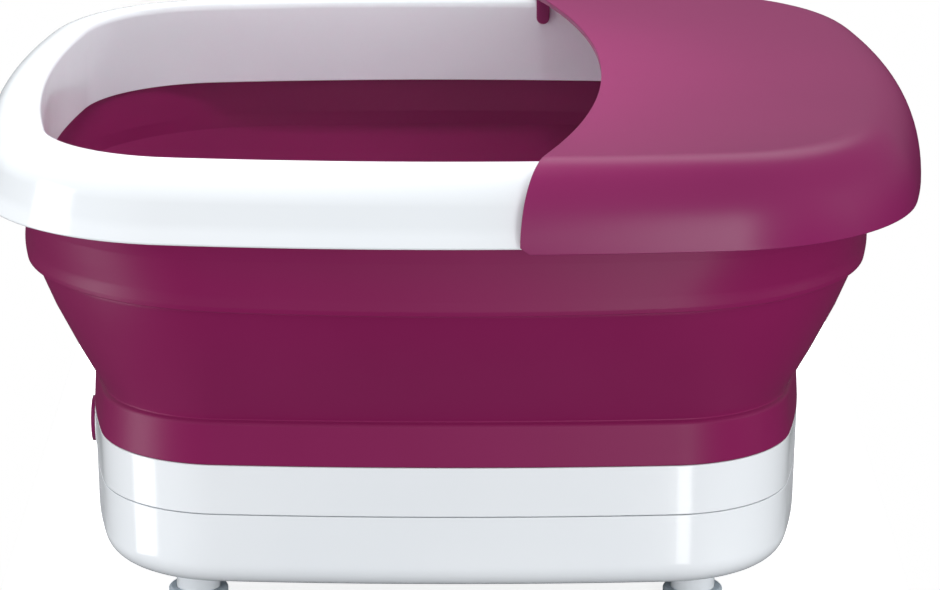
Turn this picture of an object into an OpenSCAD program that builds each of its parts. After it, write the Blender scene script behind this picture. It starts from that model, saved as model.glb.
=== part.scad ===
// Foot spa basin: a moulded base with heater, air pump and vibration motor, a folding silicone
// wall, a rim with a lift-off splash guard, and one push button on the end.
// Millimetres. +Z is up, +X is the splash guard end, and z = 0 is the floor. The origin is under
// the middle of the whole outline, so the tub stands half of the guard's overhang towards -X.

/* [Rim] */
// Half length of the rim at its lower edge
rim_half_l = 214.5; // [208:0.5:222]
// Half depth of the rim at its lower edge
rim_half_d = 194; // [188:0.5:200]
// Corner radius of the rim
rim_corner_r = 97; // [85:1:110]
// Bow radius of the rim's long sides
rim_side_r = 1010; // [800:10:1600]
// Bow radius of the rim's ends
rim_end_r = 600; // [450:10:1000]
// Height of the rim's lower edge above the floor
rim_z = 191; // [186:0.5:198]
// Height of the rim from its lower edge to its top
rim_h = 32; // [28:0.5:38]
// Radius of the rim's outer rounding
rim_round_r = 20; // [14:0.5:22]
// Radius of the rim's inner rounding
rim_lip_r = 4.5; // [3.5:0.25:6]
// How far the rim's outer wall leans in below its rounding
rim_taper = 5; // [2:0.5:8]
// How far the rim's inner wall hangs below its outer wall
rim_inner_drop = 10; // [6:0.5:12]
// Wall of the rim moulding
rim_wall = 2.6; // [2:0.1:3]
// Thickness of the clamp ring under the rim
clamp_t = 5; // [3:0.25:6]
// Screws that hold the clamp ring, on each quarter
rim_screws_per_quarter = 4; // [2:1:5]

/* [Silicone wall] */
// Half length of the wall at its widest fold
fold_half_l = 192.5; // [189:0.5:196]
// Half depth of the wall at its widest fold
fold_half_d = 175; // [171:0.5:178]
// Corner radius at the widest fold
fold_corner_r = 104; // [98:1:108]
// Bow radius of the long sides at the widest fold
fold_side_r = 680; // [600:10:900]
// Bow radius of the ends at the widest fold
fold_end_r = 500; // [420:10:700]
// Height of the widest fold above the floor
fold_z = 156.5; // [150:0.5:162]
// Height of the cuff that grips the base
cuff_h = 21; // [18:0.5:24]
// Thickness of the cone
cone_t = 2.6; // [2:0.1:3.2]
// Thickness of the collar and the cuff
collar_t = 3; // [2.4:0.1:3.4]

/* [Splash guard] */
// Wall of the splash guard
guard_wall = 2.5; // [2:0.1:3.2]
// Gap between the guard and the rim below it
guard_gap = 0.5; // [0.4:0.1:0.8]
// How far the guard's skirt stands outside the rim's lower edge
guard_flare = 3.5; // [3.2:0.1:5]
// How far the guard's skirt hangs below the rim's lower edge
guard_drop = 1.5; // [0.5:0.25:4]
// Radius of the hollow cut edge
guard_cut_r = 500; // [420:5:600]
// Distance from the tub's middle to the deepest point of the cut
guard_cut_x = 71.5; // [55:0.5:85]
// Width of a locating tab
tab_w = 6.5; // [5:0.5:9]
// Length of a locating tab below the guard's top plate
tab_l = 12.5; // [9:0.5:16]

/* [Base] */
// Half length of the base at its upper edge
base_half_l = 164.5; // [161:0.5:168]
// Half depth of the base at its upper edge
base_half_d = 144; // [140:0.5:147]
// Corner radius of the base
base_corner_r = 59; // [55:1:68]
// Bow radius of the base's long sides
base_side_r = 1400; // [1000:10:2000]
// Bow radius of the base's ends
base_end_r = 480; // [420:10:700]
// Height of the base's upper edge above the floor
base_z = 78; // [76:0.5:82]
// Height of the parting line between the tub and the housing
parting_z = 55; // [52:0.5:58]
// Open groove at the parting line
parting_gap = 0.4; // [0.3:0.1:0.8]
// How far the base narrows from its upper edge down to its bottom rounding
base_taper = 1; // [0.6:0.1:2]
// Radius of the base's bottom rounding
base_round_r = 12; // [9:0.5:14]
// Wall of the base mouldings
base_wall = 2.8; // [2.4:0.1:3.2]
// Height of the tub floor's upper face
floor_z = 73; // [72.5:0.5:74.5]
// Thickness of the tub floor
floor_t = 3; // [2.5:0.25:3.5]

/* [Massage floor] */
// Radius of a massage nub
nub_r = 5; // [3.5:0.25:6]
// Height of a massage nub
nub_h = 2.6; // [1.5:0.1:3.4]
// Nubs along each foot
nubs_along = 9; // [5:1:11]
// Distance between neighbouring nubs
nub_pitch = 22; // [18:0.5:23]
// Distance of each foot's middle line from the tub's middle
foot_line = 68; // [64:0.5:72]
// Length of an air rail
rail_l = 232; // [226:1:240]
// Width of an air rail
rail_w = 24; // [20:0.5:28]
// Height of an air rail
rail_h = 4.5; // [4:0.25:6]
// Radius of a bubble hole
bubble_r = 0.8; // [0.6:0.1:1.2]
// Bubble holes along each rail
bubbles_along = 14; // [8:1:18]

/* [Feet] */
// Distance of a foot from the tub's middle along the length
foot_x = 112.5; // [104:0.5:116]
// Distance of a foot from the tub's middle along the depth
foot_y = 95; // [90:0.5:98]
// Radius of a foot's stem
stem_r = 10; // [8:0.25:11]
// Height of the bottom of the base above the floor
foot_h = 20; // [16:0.5:24]
// Radius of a rubber pad
pad_r = 13.5; // [12.5:0.25:16]
// Height of a rubber pad
pad_h = 6; // [5:0.25:8]

/* [Button] */
// Height of the button's axis above the floor
button_z = 55; // [54:0.25:56]
// Radius of the button cap
button_r = 10.8; // [9.5:0.1:11]
// How far the cap stands out of the base
button_proud = 4.4; // [3.8:0.1:5]
// Travel of the button
button_travel = 1.8; // [1.2:0.1:2]

/* [Vibration motor] */
// Radius of the motor can
motor_r = 13.5; // [12:0.25:14]
// Length of the motor can
motor_l = 38; // [34:0.5:42]
// Radius of the motor shaft
shaft_r = 1.5; // [1.2:0.05:2]
// Radius of the vibration weight
weight_r = 13; // [10:0.25:13.5]
// Length of the vibration weight
weight_l = 10; // [6:0.5:12]

/* [Air pump] */
// Length of the pump case
pump_l = 84; // [82:0.5:88]
// Width of the pump case
pump_w = 50; // [46:0.5:54]
// Height of the pump case
pump_h = 26; // [25:0.5:27]
// Bore radius of the air hose
hose_bore_r = 2; // [1.5:0.1:2.2]
// Wall of the air hose
hose_wall = 1.2; // [1:0.1:1.5]

/* [Mains lead inlet] */
// Radius of the lead that the gland takes
lead_r = 3.5; // [3:0.1:4]
// Place of the gland along the back wall
gland_x = -80; // [-88:1:-76]
// Height of the gland above the floor
gland_z = 38; // [36:0.5:40]

/* [Hidden] */
$fn = 48;
seat_gap = 0.2;
run_gap = 0.05;
slip_gap = 0.35;
screw_r = 1.5;
screw_head_r = 3;
screw_head_h = 2;
screw_clear = 0.3;
screw_bite = 8;
tiny = 0.01;

// Outlines are ovals of eight arcs: [half length, half depth, corner r, side r, end r].
rim_oval = [rim_half_l, rim_half_d, rim_corner_r, rim_side_r, rim_end_r];
fold_oval = [fold_half_l, fold_half_d, fold_corner_r, fold_side_r, fold_end_r];
base_oval = [base_half_l, base_half_d, base_corner_r, base_side_r, base_end_r];

rim_top = rim_z + rim_h;
rim_round_z = rim_top - rim_round_r;
rim_round_x = -rim_taper - rim_round_r;
rim_inner_x = rim_round_x - rim_lip_r;
rim_inner_foot_x = rim_inner_x + 1.5;
clamp_z = rim_z + 3.5;
bead_t = 3.4;
bead_z = clamp_z + clamp_t + seat_gap;
seat_x = -20;
collar_bulge = 2.5;
rim_screw_x = -10.6;
rim_boss_r = 3.2;
rim_boss_z = bead_z + 0.4;

shift_x = -guard_flare / 2;

cuff_top = base_z + cuff_h;
cuff_lean = 3.5;
cuff_inset = 0.8;
cone_foot_x = -cuff_lean - cuff_inset;
tub_wall_foot_x = -collar_t - seat_gap - 0.4;
tub_wall_top_x = tub_wall_foot_x - cuff_lean;
tub_wall_top = cuff_top - 4;
lip_l = 7;
lip_x = tub_wall_top_x - base_wall - seat_gap;
cuff_ring_x = lip_x - collar_t + 0.5 - seat_gap;
cuff_ring_t = 2.2;
cuff_foot_h = 2;
fillet = 6;

floor_under = floor_z - floor_t;
housing_floor = foot_h + base_wall;
skirt_low = parting_z + parting_gap / 2;
housing_top = parting_z - parting_gap / 2;
round_z = foot_h + base_round_r;
base_slope = base_taper / (base_z - round_z);
tongue_h = 3;
tongue_t = 1.2;

post_r = 4.6;
post_places = [[138, 45], [138, -45], [-132, 78], [-132, -78],
    [62, 118], [62, -118], [-50, 118], [-50, -118]];
post_seat_z = housing_floor + 5;
recess_r = screw_head_r + 1.2;

pad_seat = 2.5;
stem_flange_h = 2;

button_x = -base_half_l + (base_z - button_z) * base_slope;
bezel_r = button_r + slip_gap + 1.8;
bezel_l = 8;
stem_button_r = 3;
switch_w = 12;
plunger_r = 1.9;
board_z = 45;
board_t = 1.6;
board_x = button_x + 39;
board_l = 46;
board_w = 92;
board_post_r = 3.4;
relay_size = [15, 19, 14];
plug_size = [8, 14, 9];
capacitor_r = 5;
choke_r = 7;
board_hole = [board_l / 2 - 4.5, board_w / 2 - 4.5];

motor_x = -32;
motor_y = -62;
motor_z = 43.5;
can_t = 1.2;
cap_t = 4;
bush_r = 3.6;
bush_l = 4;
sleeve_t = 1.5;
strap_w = 16;
strap_t = 1.2;
motor_boss_y = motor_r + sleeve_t + strap_t + 5.5;

pump_x = 8;
pump_y = 68;
grommet_h = 4;
pump_z = housing_floor + grommet_h;
pump_wall = 2;
pump_cover_t = 2;
pin_r = 1.5;
pin_x = -pump_l / 2 + 8;
arm_z = 18;
arm_t = 3;
arm_w = 7;
diaphragm_x = 25;
valve_h = 7;
core_x = -5;
magnet_t = 3;
air_gap = 2;

hose_r = hose_bore_r + hose_wall;
outlet_z = pump_z + 5;
valve_x = pump_x + pump_l / 2 + 20;
valve_l = 20;
tee_x = 108;
hose_bend_r = 9;
spigot_l = 9;

heater_l = 118;
heater_w = 56;
heater_t = 1.5;
foil_t = 0.6;

gland_y = base_half_d - base_side_r + sqrt(pow(base_side_r, 2) - pow(gland_x, 2))
    - (base_z - gland_z) * base_slope;
gland_r = lead_r + 3;

rim_boss_h = 10;
bead_out = 1.4;
bead_in = 1.5;
shelf_z = housing_top - 5;
shelf_t = 2;
seal_w = 2.6;
seal_h = 2;
seat_t = 2.6;
post_bite = 10;
boss_r = 4.2;
divider_l = 150;
divider_w = 12;
divider_h = 7;
rail_skin = 1.6;
plate_t = 2;
bubble_pitch = (rail_l - rail_w) / (bubbles_along - 1);
nipple_wall = 0.9;
nipple_l = 9;
bezel_flange_r = bezel_r + 1.6;
bezel_proud = button_proud - 2.6;
cap_skirt = 4;
cap_top = 1.8;
plunger_z = 14;
plunger_l = 10;
switch_depth = 20;
stem_flange = 1.5;
grommet_pin_r = 1.9;
vent_x = 8;
vent_pitch = 7;
vent_w = 3;
vent_l = 40;
clamp_y = gland_y - 19;
clamp_screw_x = 9;
clamp_w = 8;
clamp_h = 6;
gland_lip = 1.2;
gland_rim = 2.6;
weight_z = motor_l + 5;
core_l = 36;
core_w = 14;
core_t = 4;
core_top = arm_z - arm_t / 2 - magnet_t - air_gap;
magnet_l = 12;
valve_w = 22;
valve_r = 5.5;
tee_r = 4;
tee_arm = 9;
tab_places = [48, 104];

// Centre of an oval's corner arc, where the two circles that it touches inside meet.
function corner_c(p) =
    let (e = [p[0] - p[4], 0], f = [0, p[1] - p[3]], re = p[4] - p[2], rf = p[3] - p[2])
    let (d = norm(f - e), u = (f - e) / d, h = (re * re - rf * rf + d * d) / (2 * d))
    e + u * h + [-u[1], u[0]] * sqrt(re * re - h * h);
function end_angle(p) = let (c = corner_c(p)) atan2(c[1], c[0] - p[0] + p[4]);
function side_angle(p) = let (c = corner_c(p)) atan2(c[1] - p[1] + p[3], c[0]);
function on_circle(c, r, a) = c + r * [cos(a), sin(a)];
function arc_points(c, r, a0, a1, n) = [for (i = [0:n]) on_circle(c, r, a0 + (a1 - a0) * i / n)];

// Points of a quarter of an oval at an offset, from the +X end to the +Y side.
steps_end = 2;
steps_corner = 7;
steps_side = 3;
function quarter(p, off) =
    let (a = end_angle(p), b = side_angle(p))
    concat([for (i = [0:steps_end - 1]) on_circle([p[0] - p[4], 0], p[4] + off, a * i / steps_end)],
        [for (i = [0:steps_corner - 1]) on_circle(corner_c(p), p[2] + off, a + (b - a) * i / steps_corner)],
        [for (i = [0:steps_side - 1]) on_circle([0, p[1] - p[3]], p[3] + off, b + (90 - b) * i / steps_side)],
        [[0, p[1] + off]]);
function box_profile(x0, x1, z0, z1) = [[x0, z0], [x1, z0], [x1, z1], [x0, z1]];
function reversed(v) = [for (i = [len(v) - 1:-1:0]) v[i]];
function flip(v, s) = [for (q = v) [q[0] * s[0], q[1] * s[1]]];
function without_ends(v) = [for (i = [1:len(v) - 2]) v[i]];
function oval_points(p, off) =
    let (q = quarter(p, off), inner = without_ends(q), last = q[len(q) - 1])
    concat([q[0]], inner, [last], reversed(flip(inner, [-1, 1])), [flip([q[0]], [-1, 1])[0]],
        flip(inner, [-1, -1]), [flip([last], [1, -1])[0]], reversed(flip(inner, [1, -1])));

// Point on a quarter of an oval, at a share of the way round it, for screws.
function along_quarter(p, off, share) =
    let (q = quarter(p, off), n = len(q) - 1, i = min(floor(share * n), n - 1))
    q[i] + (q[i + 1] - q[i]) * (share * n - i);

module placed() { translate([shift_x, 0, 0]) children(); }

// A closed tube of rings, each with as many points as the next. The rings run up the outside.
module loft(rings) {
    n = len(rings);
    m = len(rings[0]);
    polyhedron(points = [for (r = rings) each r],
        faces = [for (i = [0:n - 1], j = [0:m - 1])
            [i * m + j, ((i + 1) % n) * m + j, ((i + 1) % n) * m + (j + 1) % m, i * m + (j + 1) % m]]);
}

// Carries a profile, listed as [offset from the outline, height], once round an oval.
module oval_loft(p, profile) {
    loft([for (q = profile) [for (v = oval_points(p, q[0])) [v[0], v[1], q[1]]]]);
}

module oval_plate(p, off, z, h) {
    translate([0, 0, z]) linear_extrude(h) polygon(oval_points(p, off));
}

module rod_x(r, l) { rotate([0, 90, 0]) cylinder(r = r, h = l); }
module rod_y(r, l) { rotate([-90, 0, 0]) cylinder(r = r, h = l); }
module block(size) { translate([-size[0] / 2, -size[1] / 2, 0]) cube(size); }

module tube(r_out, r_in, h) {
    difference() {
        cylinder(r = r_out, h = h);
        translate([0, 0, -1]) cylinder(r = r_in, h = h + 2);
    }
}

// A pan-head screw standing head down, with its seat at z = 0.
module screw(l) {
    translate([0, 0, -screw_head_h]) cylinder(r = screw_head_r, h = screw_head_h, $fn = 32);
    cylinder(r = screw_r, h = l, $fn = 32);
}

module at_posts() { for (q = post_places) translate([q[0], q[1], 0]) children(); }

module at_rim_screws() {
    for (sx = [-1, 1], sy = [-1, 1], i = [0:rim_screws_per_quarter - 1]) {
        q = along_quarter(rim_oval, rim_screw_x, (i + 0.5) / rim_screws_per_quarter);
        translate([sx * q[0], sy * q[1], 0]) children();
    }
}

// ---- Rim -------------------------------------------------------------------------------------

// The rim's crest from the outer wall over the top to the inner wall, grown by an offset.
function rim_crest(grow) = concat(
    arc_points([rim_round_x, rim_round_z], rim_round_r + grow, 0, 90, 7),
    arc_points([rim_round_x, rim_top - rim_lip_r], rim_lip_r + grow, 120, 180, 2));
function rim_lean(z) = -rim_taper * (z - rim_z) / (rim_round_z - rim_z);
function crest_under(x) = rim_round_z + sqrt(pow(rim_round_r - rim_wall, 2) - pow(x - rim_round_x, 2));

module rim_shell() {
    inner_low = rim_z - rim_inner_drop;
    color("whitesmoke") placed() difference() {
        union() {
            oval_loft(rim_oval, concat([[0, rim_z]], rim_crest(0),
                [[rim_inner_foot_x, inner_low], [rim_inner_foot_x + rim_wall, inner_low]],
                reversed(rim_crest(-rim_wall)), [[-rim_wall, rim_z]]));
            oval_loft(rim_oval,
                box_profile(seat_x - 1.5, seat_x, bead_z + bead_t, crest_under(seat_x) + 0.9));
            at_rim_screws() translate([0, 0, rim_boss_z]) cylinder(r = rim_boss_r, h = rim_boss_h);
        }
        at_rim_screws() translate([0, 0, rim_boss_z - 1]) cylinder(r = screw_r + tiny, h = screw_bite + 1);
    }
}

module rim_clamp_ring() {
    top = clamp_z + clamp_t;
    color("gainsboro") placed() difference() {
        oval_loft(rim_oval, [[seat_x + slip_gap, clamp_z], [rim_lean(clamp_z) - rim_wall - seat_gap, clamp_z],
            [rim_lean(top) - rim_wall - seat_gap, top], [seat_x + slip_gap, top]]);
        at_rim_screws() translate([0, 0, clamp_z - 1]) cylinder(r = screw_r + screw_clear, h = clamp_t + 2);
    }
}

module rim_screws() {
    color("silver") placed() at_rim_screws() translate([0, 0, clamp_z]) screw(clamp_t + screw_bite - 1);
}

// ---- Folding silicone wall -------------------------------------------------------------------

function mix(a, b, t) = a + (b - a) * t;

// One closed ring of points. Level 0 follows the base, 1 the widest fold and 2 the rim.
function ring(level, off, z) =
    let (low = oval_points(base_oval, off), mid = oval_points(fold_oval, off),
        top = oval_points(rim_oval, off))
    [for (i = [0:len(low) - 1])
        let (q = level < 1 ? mix(low[i], mid[i], level) : mix(mid[i], top[i], level - 1)) [q[0], q[1], z]];

collar_mid = (fold_z + clamp_z) / 2;
collar_mid_x = mix(1, seat_x, 0.5) + collar_bulge;
wall_sections = [
    // outside, from the cuff's lower edge up to the bead
    [0, -cuff_inset, base_z + seat_gap], [0, cone_foot_x + 0.3, cuff_top - 2], [0, cone_foot_x, cuff_top],
    [0.33, cone_foot_x * 0.67, mix(cuff_top, fold_z, 0.33)],
    [0.67, cone_foot_x * 0.33, mix(cuff_top, fold_z, 0.67)],
    [1, 0, fold_z], [1, 0.7, fold_z + 2], [1, 1, fold_z + 7],
    [1 + 0.5, collar_mid_x, collar_mid + 4], [2, seat_x, clamp_z - 1], [2, seat_x, bead_z],
    [2, seat_x + bead_out, bead_z], [2, seat_x + bead_out, bead_z + bead_t - seat_gap],
    // inside, from the bead down to the lip and round the tub's wall
    [2, seat_x - collar_t - bead_in, bead_z + bead_t - seat_gap], [2, seat_x - collar_t - bead_in, bead_z],
    [2, seat_x - collar_t, bead_z], [2, seat_x - collar_t, clamp_z - 1],
    [1 + 0.5, collar_mid_x - collar_t, collar_mid + 4], [1, 1 - collar_t, fold_z + 7],
    [1, -cone_t - 0.4, fold_z + 0.6],
    [0.67, cone_foot_x * 0.33 - cone_t - 0.4, mix(cuff_top, fold_z, 0.67)],
    [0.33, cone_foot_x * 0.67 - cone_t - 0.4, mix(cuff_top, fold_z, 0.33)],
    [0, cone_foot_x - cone_t - 1.5, cuff_top + 1.4], [0, lip_x - collar_t + 0.7, cuff_top + 0.6],
    [0, lip_x - collar_t + 0.5, cuff_top - 0.6], [0, lip_x - collar_t + 0.5, tub_wall_top - lip_l],
    [0, lip_x, tub_wall_top - lip_l], [0, lip_x, tub_wall_top + seat_gap],
    [0, tub_wall_top_x + seat_gap, tub_wall_top + seat_gap],
        [0, tub_wall_foot_x + seat_gap, base_z + seat_gap]];

module silicone_wall() {
    color("mediumvioletred") placed() loft([for (s = wall_sections) ring(s[0], s[1], s[2])]);
}

// Offset of the tub's wall on its water side, above the floor's fillet.
function tub_inside(z) =
    tub_wall_foot_x - base_wall - cuff_lean * (z - floor_z - fillet) / (tub_wall_top - floor_z - fillet);

// A ring pressed into the tub that clamps the wall's lip. Its foot bears on the tub's wall.
module cuff_ring() {
    low = tub_wall_top - lip_l - seat_gap;
    foot_low = low - cuff_foot_h;
    color("palevioletred") placed() oval_loft(base_oval, [[tub_inside(foot_low) - run_gap, foot_low],
        [tub_inside(low) - run_gap, low],
        [cuff_ring_x, low], [cuff_ring_x, cuff_top - 1], [cuff_ring_x - 0.8, cuff_top],
        [cuff_ring_x - cuff_ring_t, cuff_top - 1], [cuff_ring_x - cuff_ring_t, foot_low]]);
}

// ---- Base ------------------------------------------------------------------------------------

function skirt_x(z) = -base_slope * (base_z - z);

module along_button() { translate([button_x, 0, button_z]) rotate([0, 90, 0]) children(); }

module button_hole() {
    along_button() translate([0, 0, -10]) cylinder(r = bezel_r + seat_gap, h = 20);
    along_button() translate([0, 0, base_wall + 0.4]) cylinder(r = bezel_flange_r + seat_gap, h = 20);
}

module long_round(l, w, h) {
    block([l - w, w, h]);
    for (sx = [-1, 1]) translate([sx * (l - w) / 2, 0, 0]) cylinder(r = w / 2, h = h);
}

module at_motor_bosses() {
    for (sy = [-1, 1]) translate([motor_x, motor_y + sy * motor_boss_y, 0]) children();
}

module at_spigots() { for (sy = [-1, 1]) translate([tee_x, sy * foot_line, 0]) children(); }

module tub_base() {
    foot_x_in = tub_wall_foot_x - base_wall;
    tongue_x = skirt_x(shelf_z) - base_wall - seat_gap;
    color("whitesmoke") placed() difference() {
        union() {
            oval_loft(base_oval, concat(
                [[skirt_x(skirt_low), skirt_low], [0, base_z], [tub_wall_foot_x, base_z],
                    [tub_wall_top_x, tub_wall_top], [tub_wall_top_x - base_wall, tub_wall_top]],
                arc_points([foot_x_in - fillet, floor_z + fillet], fillet, 0, -90, 3),
                [[foot_x_in - fillet - 2, floor_z], [foot_x_in - fillet - 2, floor_under],
                    [tub_wall_foot_x, floor_under], [tub_wall_foot_x, base_z - base_wall],
                    [-base_wall - 0.3, base_z - base_wall], [tongue_x - tongue_t, skirt_low + tongue_h],
                    [tongue_x - tongue_t, shelf_z + seal_h], [tongue_x, shelf_z + seal_h],
                        [tongue_x, skirt_low]]));
            oval_plate(base_oval, foot_x_in - fillet - 1, floor_under, floor_t);
            translate([0, 0, floor_z - 0.5]) long_round(divider_l, divider_w, divider_h + 0.5);
            at_posts() translate([0, 0, post_seat_z + seat_t])
                cylinder(r = post_r, h = floor_under + 0.5 - post_seat_z - seat_t);
            at_motor_bosses() translate([0, 0, motor_z + strap_t])
                cylinder(r = boss_r, h = floor_under + 0.5 - motor_z - strap_t);
            translate([motor_x, motor_y, motor_z + motor_r * 0.6])
                block([strap_w, motor_r * 1.6, floor_under + 0.5 - motor_z - motor_r * 0.6]);
            at_spigots() translate([0, 0, floor_under - spigot_l])
                cylinder(r = hose_bore_r, h = spigot_l + 0.5);
        }
        at_posts() translate([0, 0, post_seat_z]) cylinder(r = screw_r + tiny, h = seat_t + post_bite);
        at_motor_bosses() translate([0, 0, motor_z]) cylinder(r = screw_r + tiny, h = strap_t + screw_bite);
        at_spigots() translate([0, 0, floor_under - spigot_l - 1])
            cylinder(r = hose_bore_r - nipple_wall, h = spigot_l + floor_t + 2);
        translate([motor_x - strap_w, motor_y, motor_z]) rod_x(motor_r + sleeve_t, 2 * strap_w);
        button_hole();
    }
}

module at_board_holes() {
    for (sx = [-1, 1], sy = [-1, 1])
        translate([board_x + sx * board_hole[0], sy * board_hole[1], 0]) children();
}

module at_grommets() {
    for (sx = [-1, 1], sy = [-1, 1])
        translate([pump_x + sx * (pump_l / 2 - 9), pump_y + sy * (pump_w / 2 - 9), 0]) children();
}

module at_feet() {
    for (sx = [-1, 1], sy = [-1, 1]) translate([sx * foot_x, sy * foot_y, 0]) children();
}

module at_clamp_screws() {
    for (sx = [-1, 1]) translate([gland_x + sx * clamp_screw_x, clamp_y, 0]) children();
}

module bottom_housing() {
    x0 = skirt_x(round_z);
    xr = x0 - base_round_r;
    shelf_x = skirt_x(shelf_z) - base_wall;
    color("whitesmoke") placed() difference() {
        union() {
            oval_loft(base_oval, concat(
                [[xr - 3, housing_floor], [xr - 3, foot_h]],
                arc_points([xr, round_z], base_round_r, -90, 0, 6),
                [[skirt_x(housing_top), housing_top], [skirt_x(housing_top) - base_wall, housing_top],
                    [shelf_x, shelf_z], [shelf_x - seal_w - seat_gap, shelf_z],
                    [shelf_x - seal_w - seat_gap, shelf_z - shelf_t],
                        [shelf_x - shelf_t * base_slope, shelf_z - shelf_t]],
                arc_points([xr, round_z], base_round_r - base_wall, 0, -90, 5)));
            oval_plate(base_oval, xr - 1.5, foot_h, base_wall);
            at_posts() translate([0, 0, foot_h])
                cylinder(r = recess_r + 1.8, h = post_seat_z + seat_t - foot_h);
            at_board_holes() translate([0, 0, foot_h + 1])
                cylinder(r = board_post_r, h = board_z - foot_h - 1);
            at_grommets() translate([0, 0, foot_h + 1])
                cylinder(r = grommet_pin_r, h = base_wall - 1 + grommet_h - 1);
            translate([gland_x, clamp_y, foot_h + 1])
                block([2 * clamp_screw_x + 9, clamp_w, gland_z - 0.5 - foot_h - 1]);
        }
        at_posts() translate([0, 0, foot_h - 1]) cylinder(r = recess_r, h = post_seat_z - foot_h + 1);
        at_posts() translate([0, 0, post_seat_z - 1]) cylinder(r = screw_r + screw_clear, h = seat_t + 2);
        at_board_holes() translate([0, 0, board_z - screw_bite])
            cylinder(r = screw_r + tiny, h = screw_bite + 1);
        at_feet() translate([0, 0, foot_h - 1]) cylinder(r = screw_r + screw_clear, h = base_wall + 2);
        at_clamp_screws() translate([0, 0, gland_z - screw_bite])
            cylinder(r = screw_r + tiny, h = screw_bite + 1);
        translate([gland_x, clamp_y - clamp_w, gland_z]) rod_y(lead_r, 2 * clamp_w);
        translate([gland_x, gland_y - 12, gland_z]) rod_y(gland_r + seat_gap, 20);
        for (i = [-2:2])
            translate([vent_x + i * vent_pitch, 0, foot_h - 1]) block([vent_w, vent_l, base_wall + 2]);
        button_hole();
    }
}

module base_seal() {
    x = skirt_x(shelf_z) - base_wall - seat_gap;
    color("dimgray") placed() difference() {
        oval_loft(base_oval, box_profile(x - seal_w + seat_gap, x, shelf_z, shelf_z + seal_h));
        button_hole();
    }
}

module housing_screws() {
    color("silver") placed() at_posts() translate([0, 0, post_seat_z]) screw(seat_t + post_bite - 1);
}

// The short screws inside the base: feet, motor strap, board and lead clamp.
module inner_screws() {
    color("silver") placed() {
        at_feet() translate([0, 0, housing_floor]) mirror([0, 0, 1]) screw(screw_bite);
        at_motor_bosses() translate([0, 0, motor_z]) screw(screw_bite);
        at_board_holes() translate([0, 0, board_z + board_t]) mirror([0, 0, 1]) screw(screw_bite);
        at_clamp_screws() translate([0, 0, gland_z + 0.5 + clamp_h]) mirror([0, 0, 1]) screw(screw_bite);
    }
}

// A clip-in plate with two rows of nubs and a hollow rail that lets the bubbles out.
module massage_plate(side) {
    row = rail_w / 2 + nub_r + 2;
    color("lightpink") placed() translate([0, side * foot_line, floor_z]) difference() {
        union() {
            long_round(rail_l + 6, 2 * row + 2 * nub_r + 4, plate_t);
            long_round(rail_l, rail_w, rail_h);
            for (sy = [-1, 1], i = [0:nubs_along - 1])
                translate([(i - (nubs_along - 1) / 2) * nub_pitch, sy * row, plate_t - 0.5])
                    cylinder(r1 = nub_r, r2 = nub_r * 0.45, h = nub_h + 0.5);
        }
        translate([0, 0, -1])
            long_round(rail_l - 2 * rail_skin, rail_w - 2 * rail_skin, rail_h - rail_skin + 1);
        for (i = [0:bubbles_along - 1])
            translate([(i - (bubbles_along - 1) / 2) * bubble_pitch, (i % 2 - 0.5) * rail_w / 3, 0])
                cylinder(r = bubble_r, h = rail_h + 1, $fn = 16);
    }
}
module massage_plate_front() { massage_plate(-1); }
module massage_plate_back() { massage_plate(1); }

// ---- Feet ------------------------------------------------------------------------------------

module foot_stem(sx, sy) {
    color("whitesmoke") placed() translate([sx * foot_x, sy * foot_y, 0]) difference() {
        union() {
            translate([0, 0, pad_seat]) cylinder(r = stem_r, h = foot_h - pad_seat);
            translate([0, 0, foot_h - stem_flange_h]) cylinder(r = stem_r + stem_flange, h = stem_flange_h);
        }
        translate([0, 0, foot_h - screw_bite]) cylinder(r = screw_r + tiny, h = screw_bite + 1);
    }
}
module foot_stem_fl() { foot_stem(-1, -1); }
module foot_stem_fr() { foot_stem(1, -1); }
module foot_stem_bl() { foot_stem(-1, 1); }
module foot_stem_br() { foot_stem(1, 1); }

module foot_pad(sx, sy) {
    color("lightslategray") placed() translate([sx * foot_x, sy * foot_y, 0]) difference() {
        rotate_extrude()
            polygon([[0, 0], [pad_r - 1, 0], [pad_r, 1], [pad_r, pad_h - 1], [pad_r - 1, pad_h], [0, pad_h]]);
        translate([0, 0, pad_seat]) cylinder(r = stem_r + seat_gap / 2, h = pad_h);
    }
}
module foot_pad_fl() { foot_pad(-1, -1); }
module foot_pad_fr() { foot_pad(1, -1); }
module foot_pad_bl() { foot_pad(-1, 1); }
module foot_pad_br() { foot_pad(1, 1); }

// ---- Button ----------------------------------------------------------------------------------

module button_cap() {
    dome = 0.9;
    dome_r = (button_r * button_r + dome * dome) / (2 * dome);
    color("mediumvioletred") placed() along_button() {
        difference() {
            intersection() {
                translate([0, 0, -button_proud]) cylinder(r = button_r, h = button_proud + cap_skirt);
                translate([0, 0, dome_r - button_proud]) sphere(r = dome_r + tiny, $fn = 180);
            }
            translate([0, 0, cap_top - button_proud])
                cylinder(r = button_r - 1.8, h = button_proud + cap_skirt);
        }
        translate([0, 0, cap_top - button_proud - 0.2])
            cylinder(r = stem_button_r, h = plunger_z - cap_top + button_proud + 0.2);
    }
}

module button_bezel() {
    color("whitesmoke") placed() along_button() difference() {
        union() {
            translate([0, 0, -bezel_proud]) cylinder(r = bezel_r, h = bezel_l + bezel_proud);
            translate([0, 0, base_wall + 0.6]) cylinder(r = bezel_flange_r, h = bezel_l - base_wall - 0.6);
        }
        translate([0, 0, -5]) cylinder(r = button_r + slip_gap, h = bezel_l + 10);
    }
}

module button_seal() {
    color("dimgray") placed() along_button() translate([0, 0, bezel_l])
        tube(bezel_flange_r, stem_button_r + slip_gap, 1.2);
}

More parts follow.
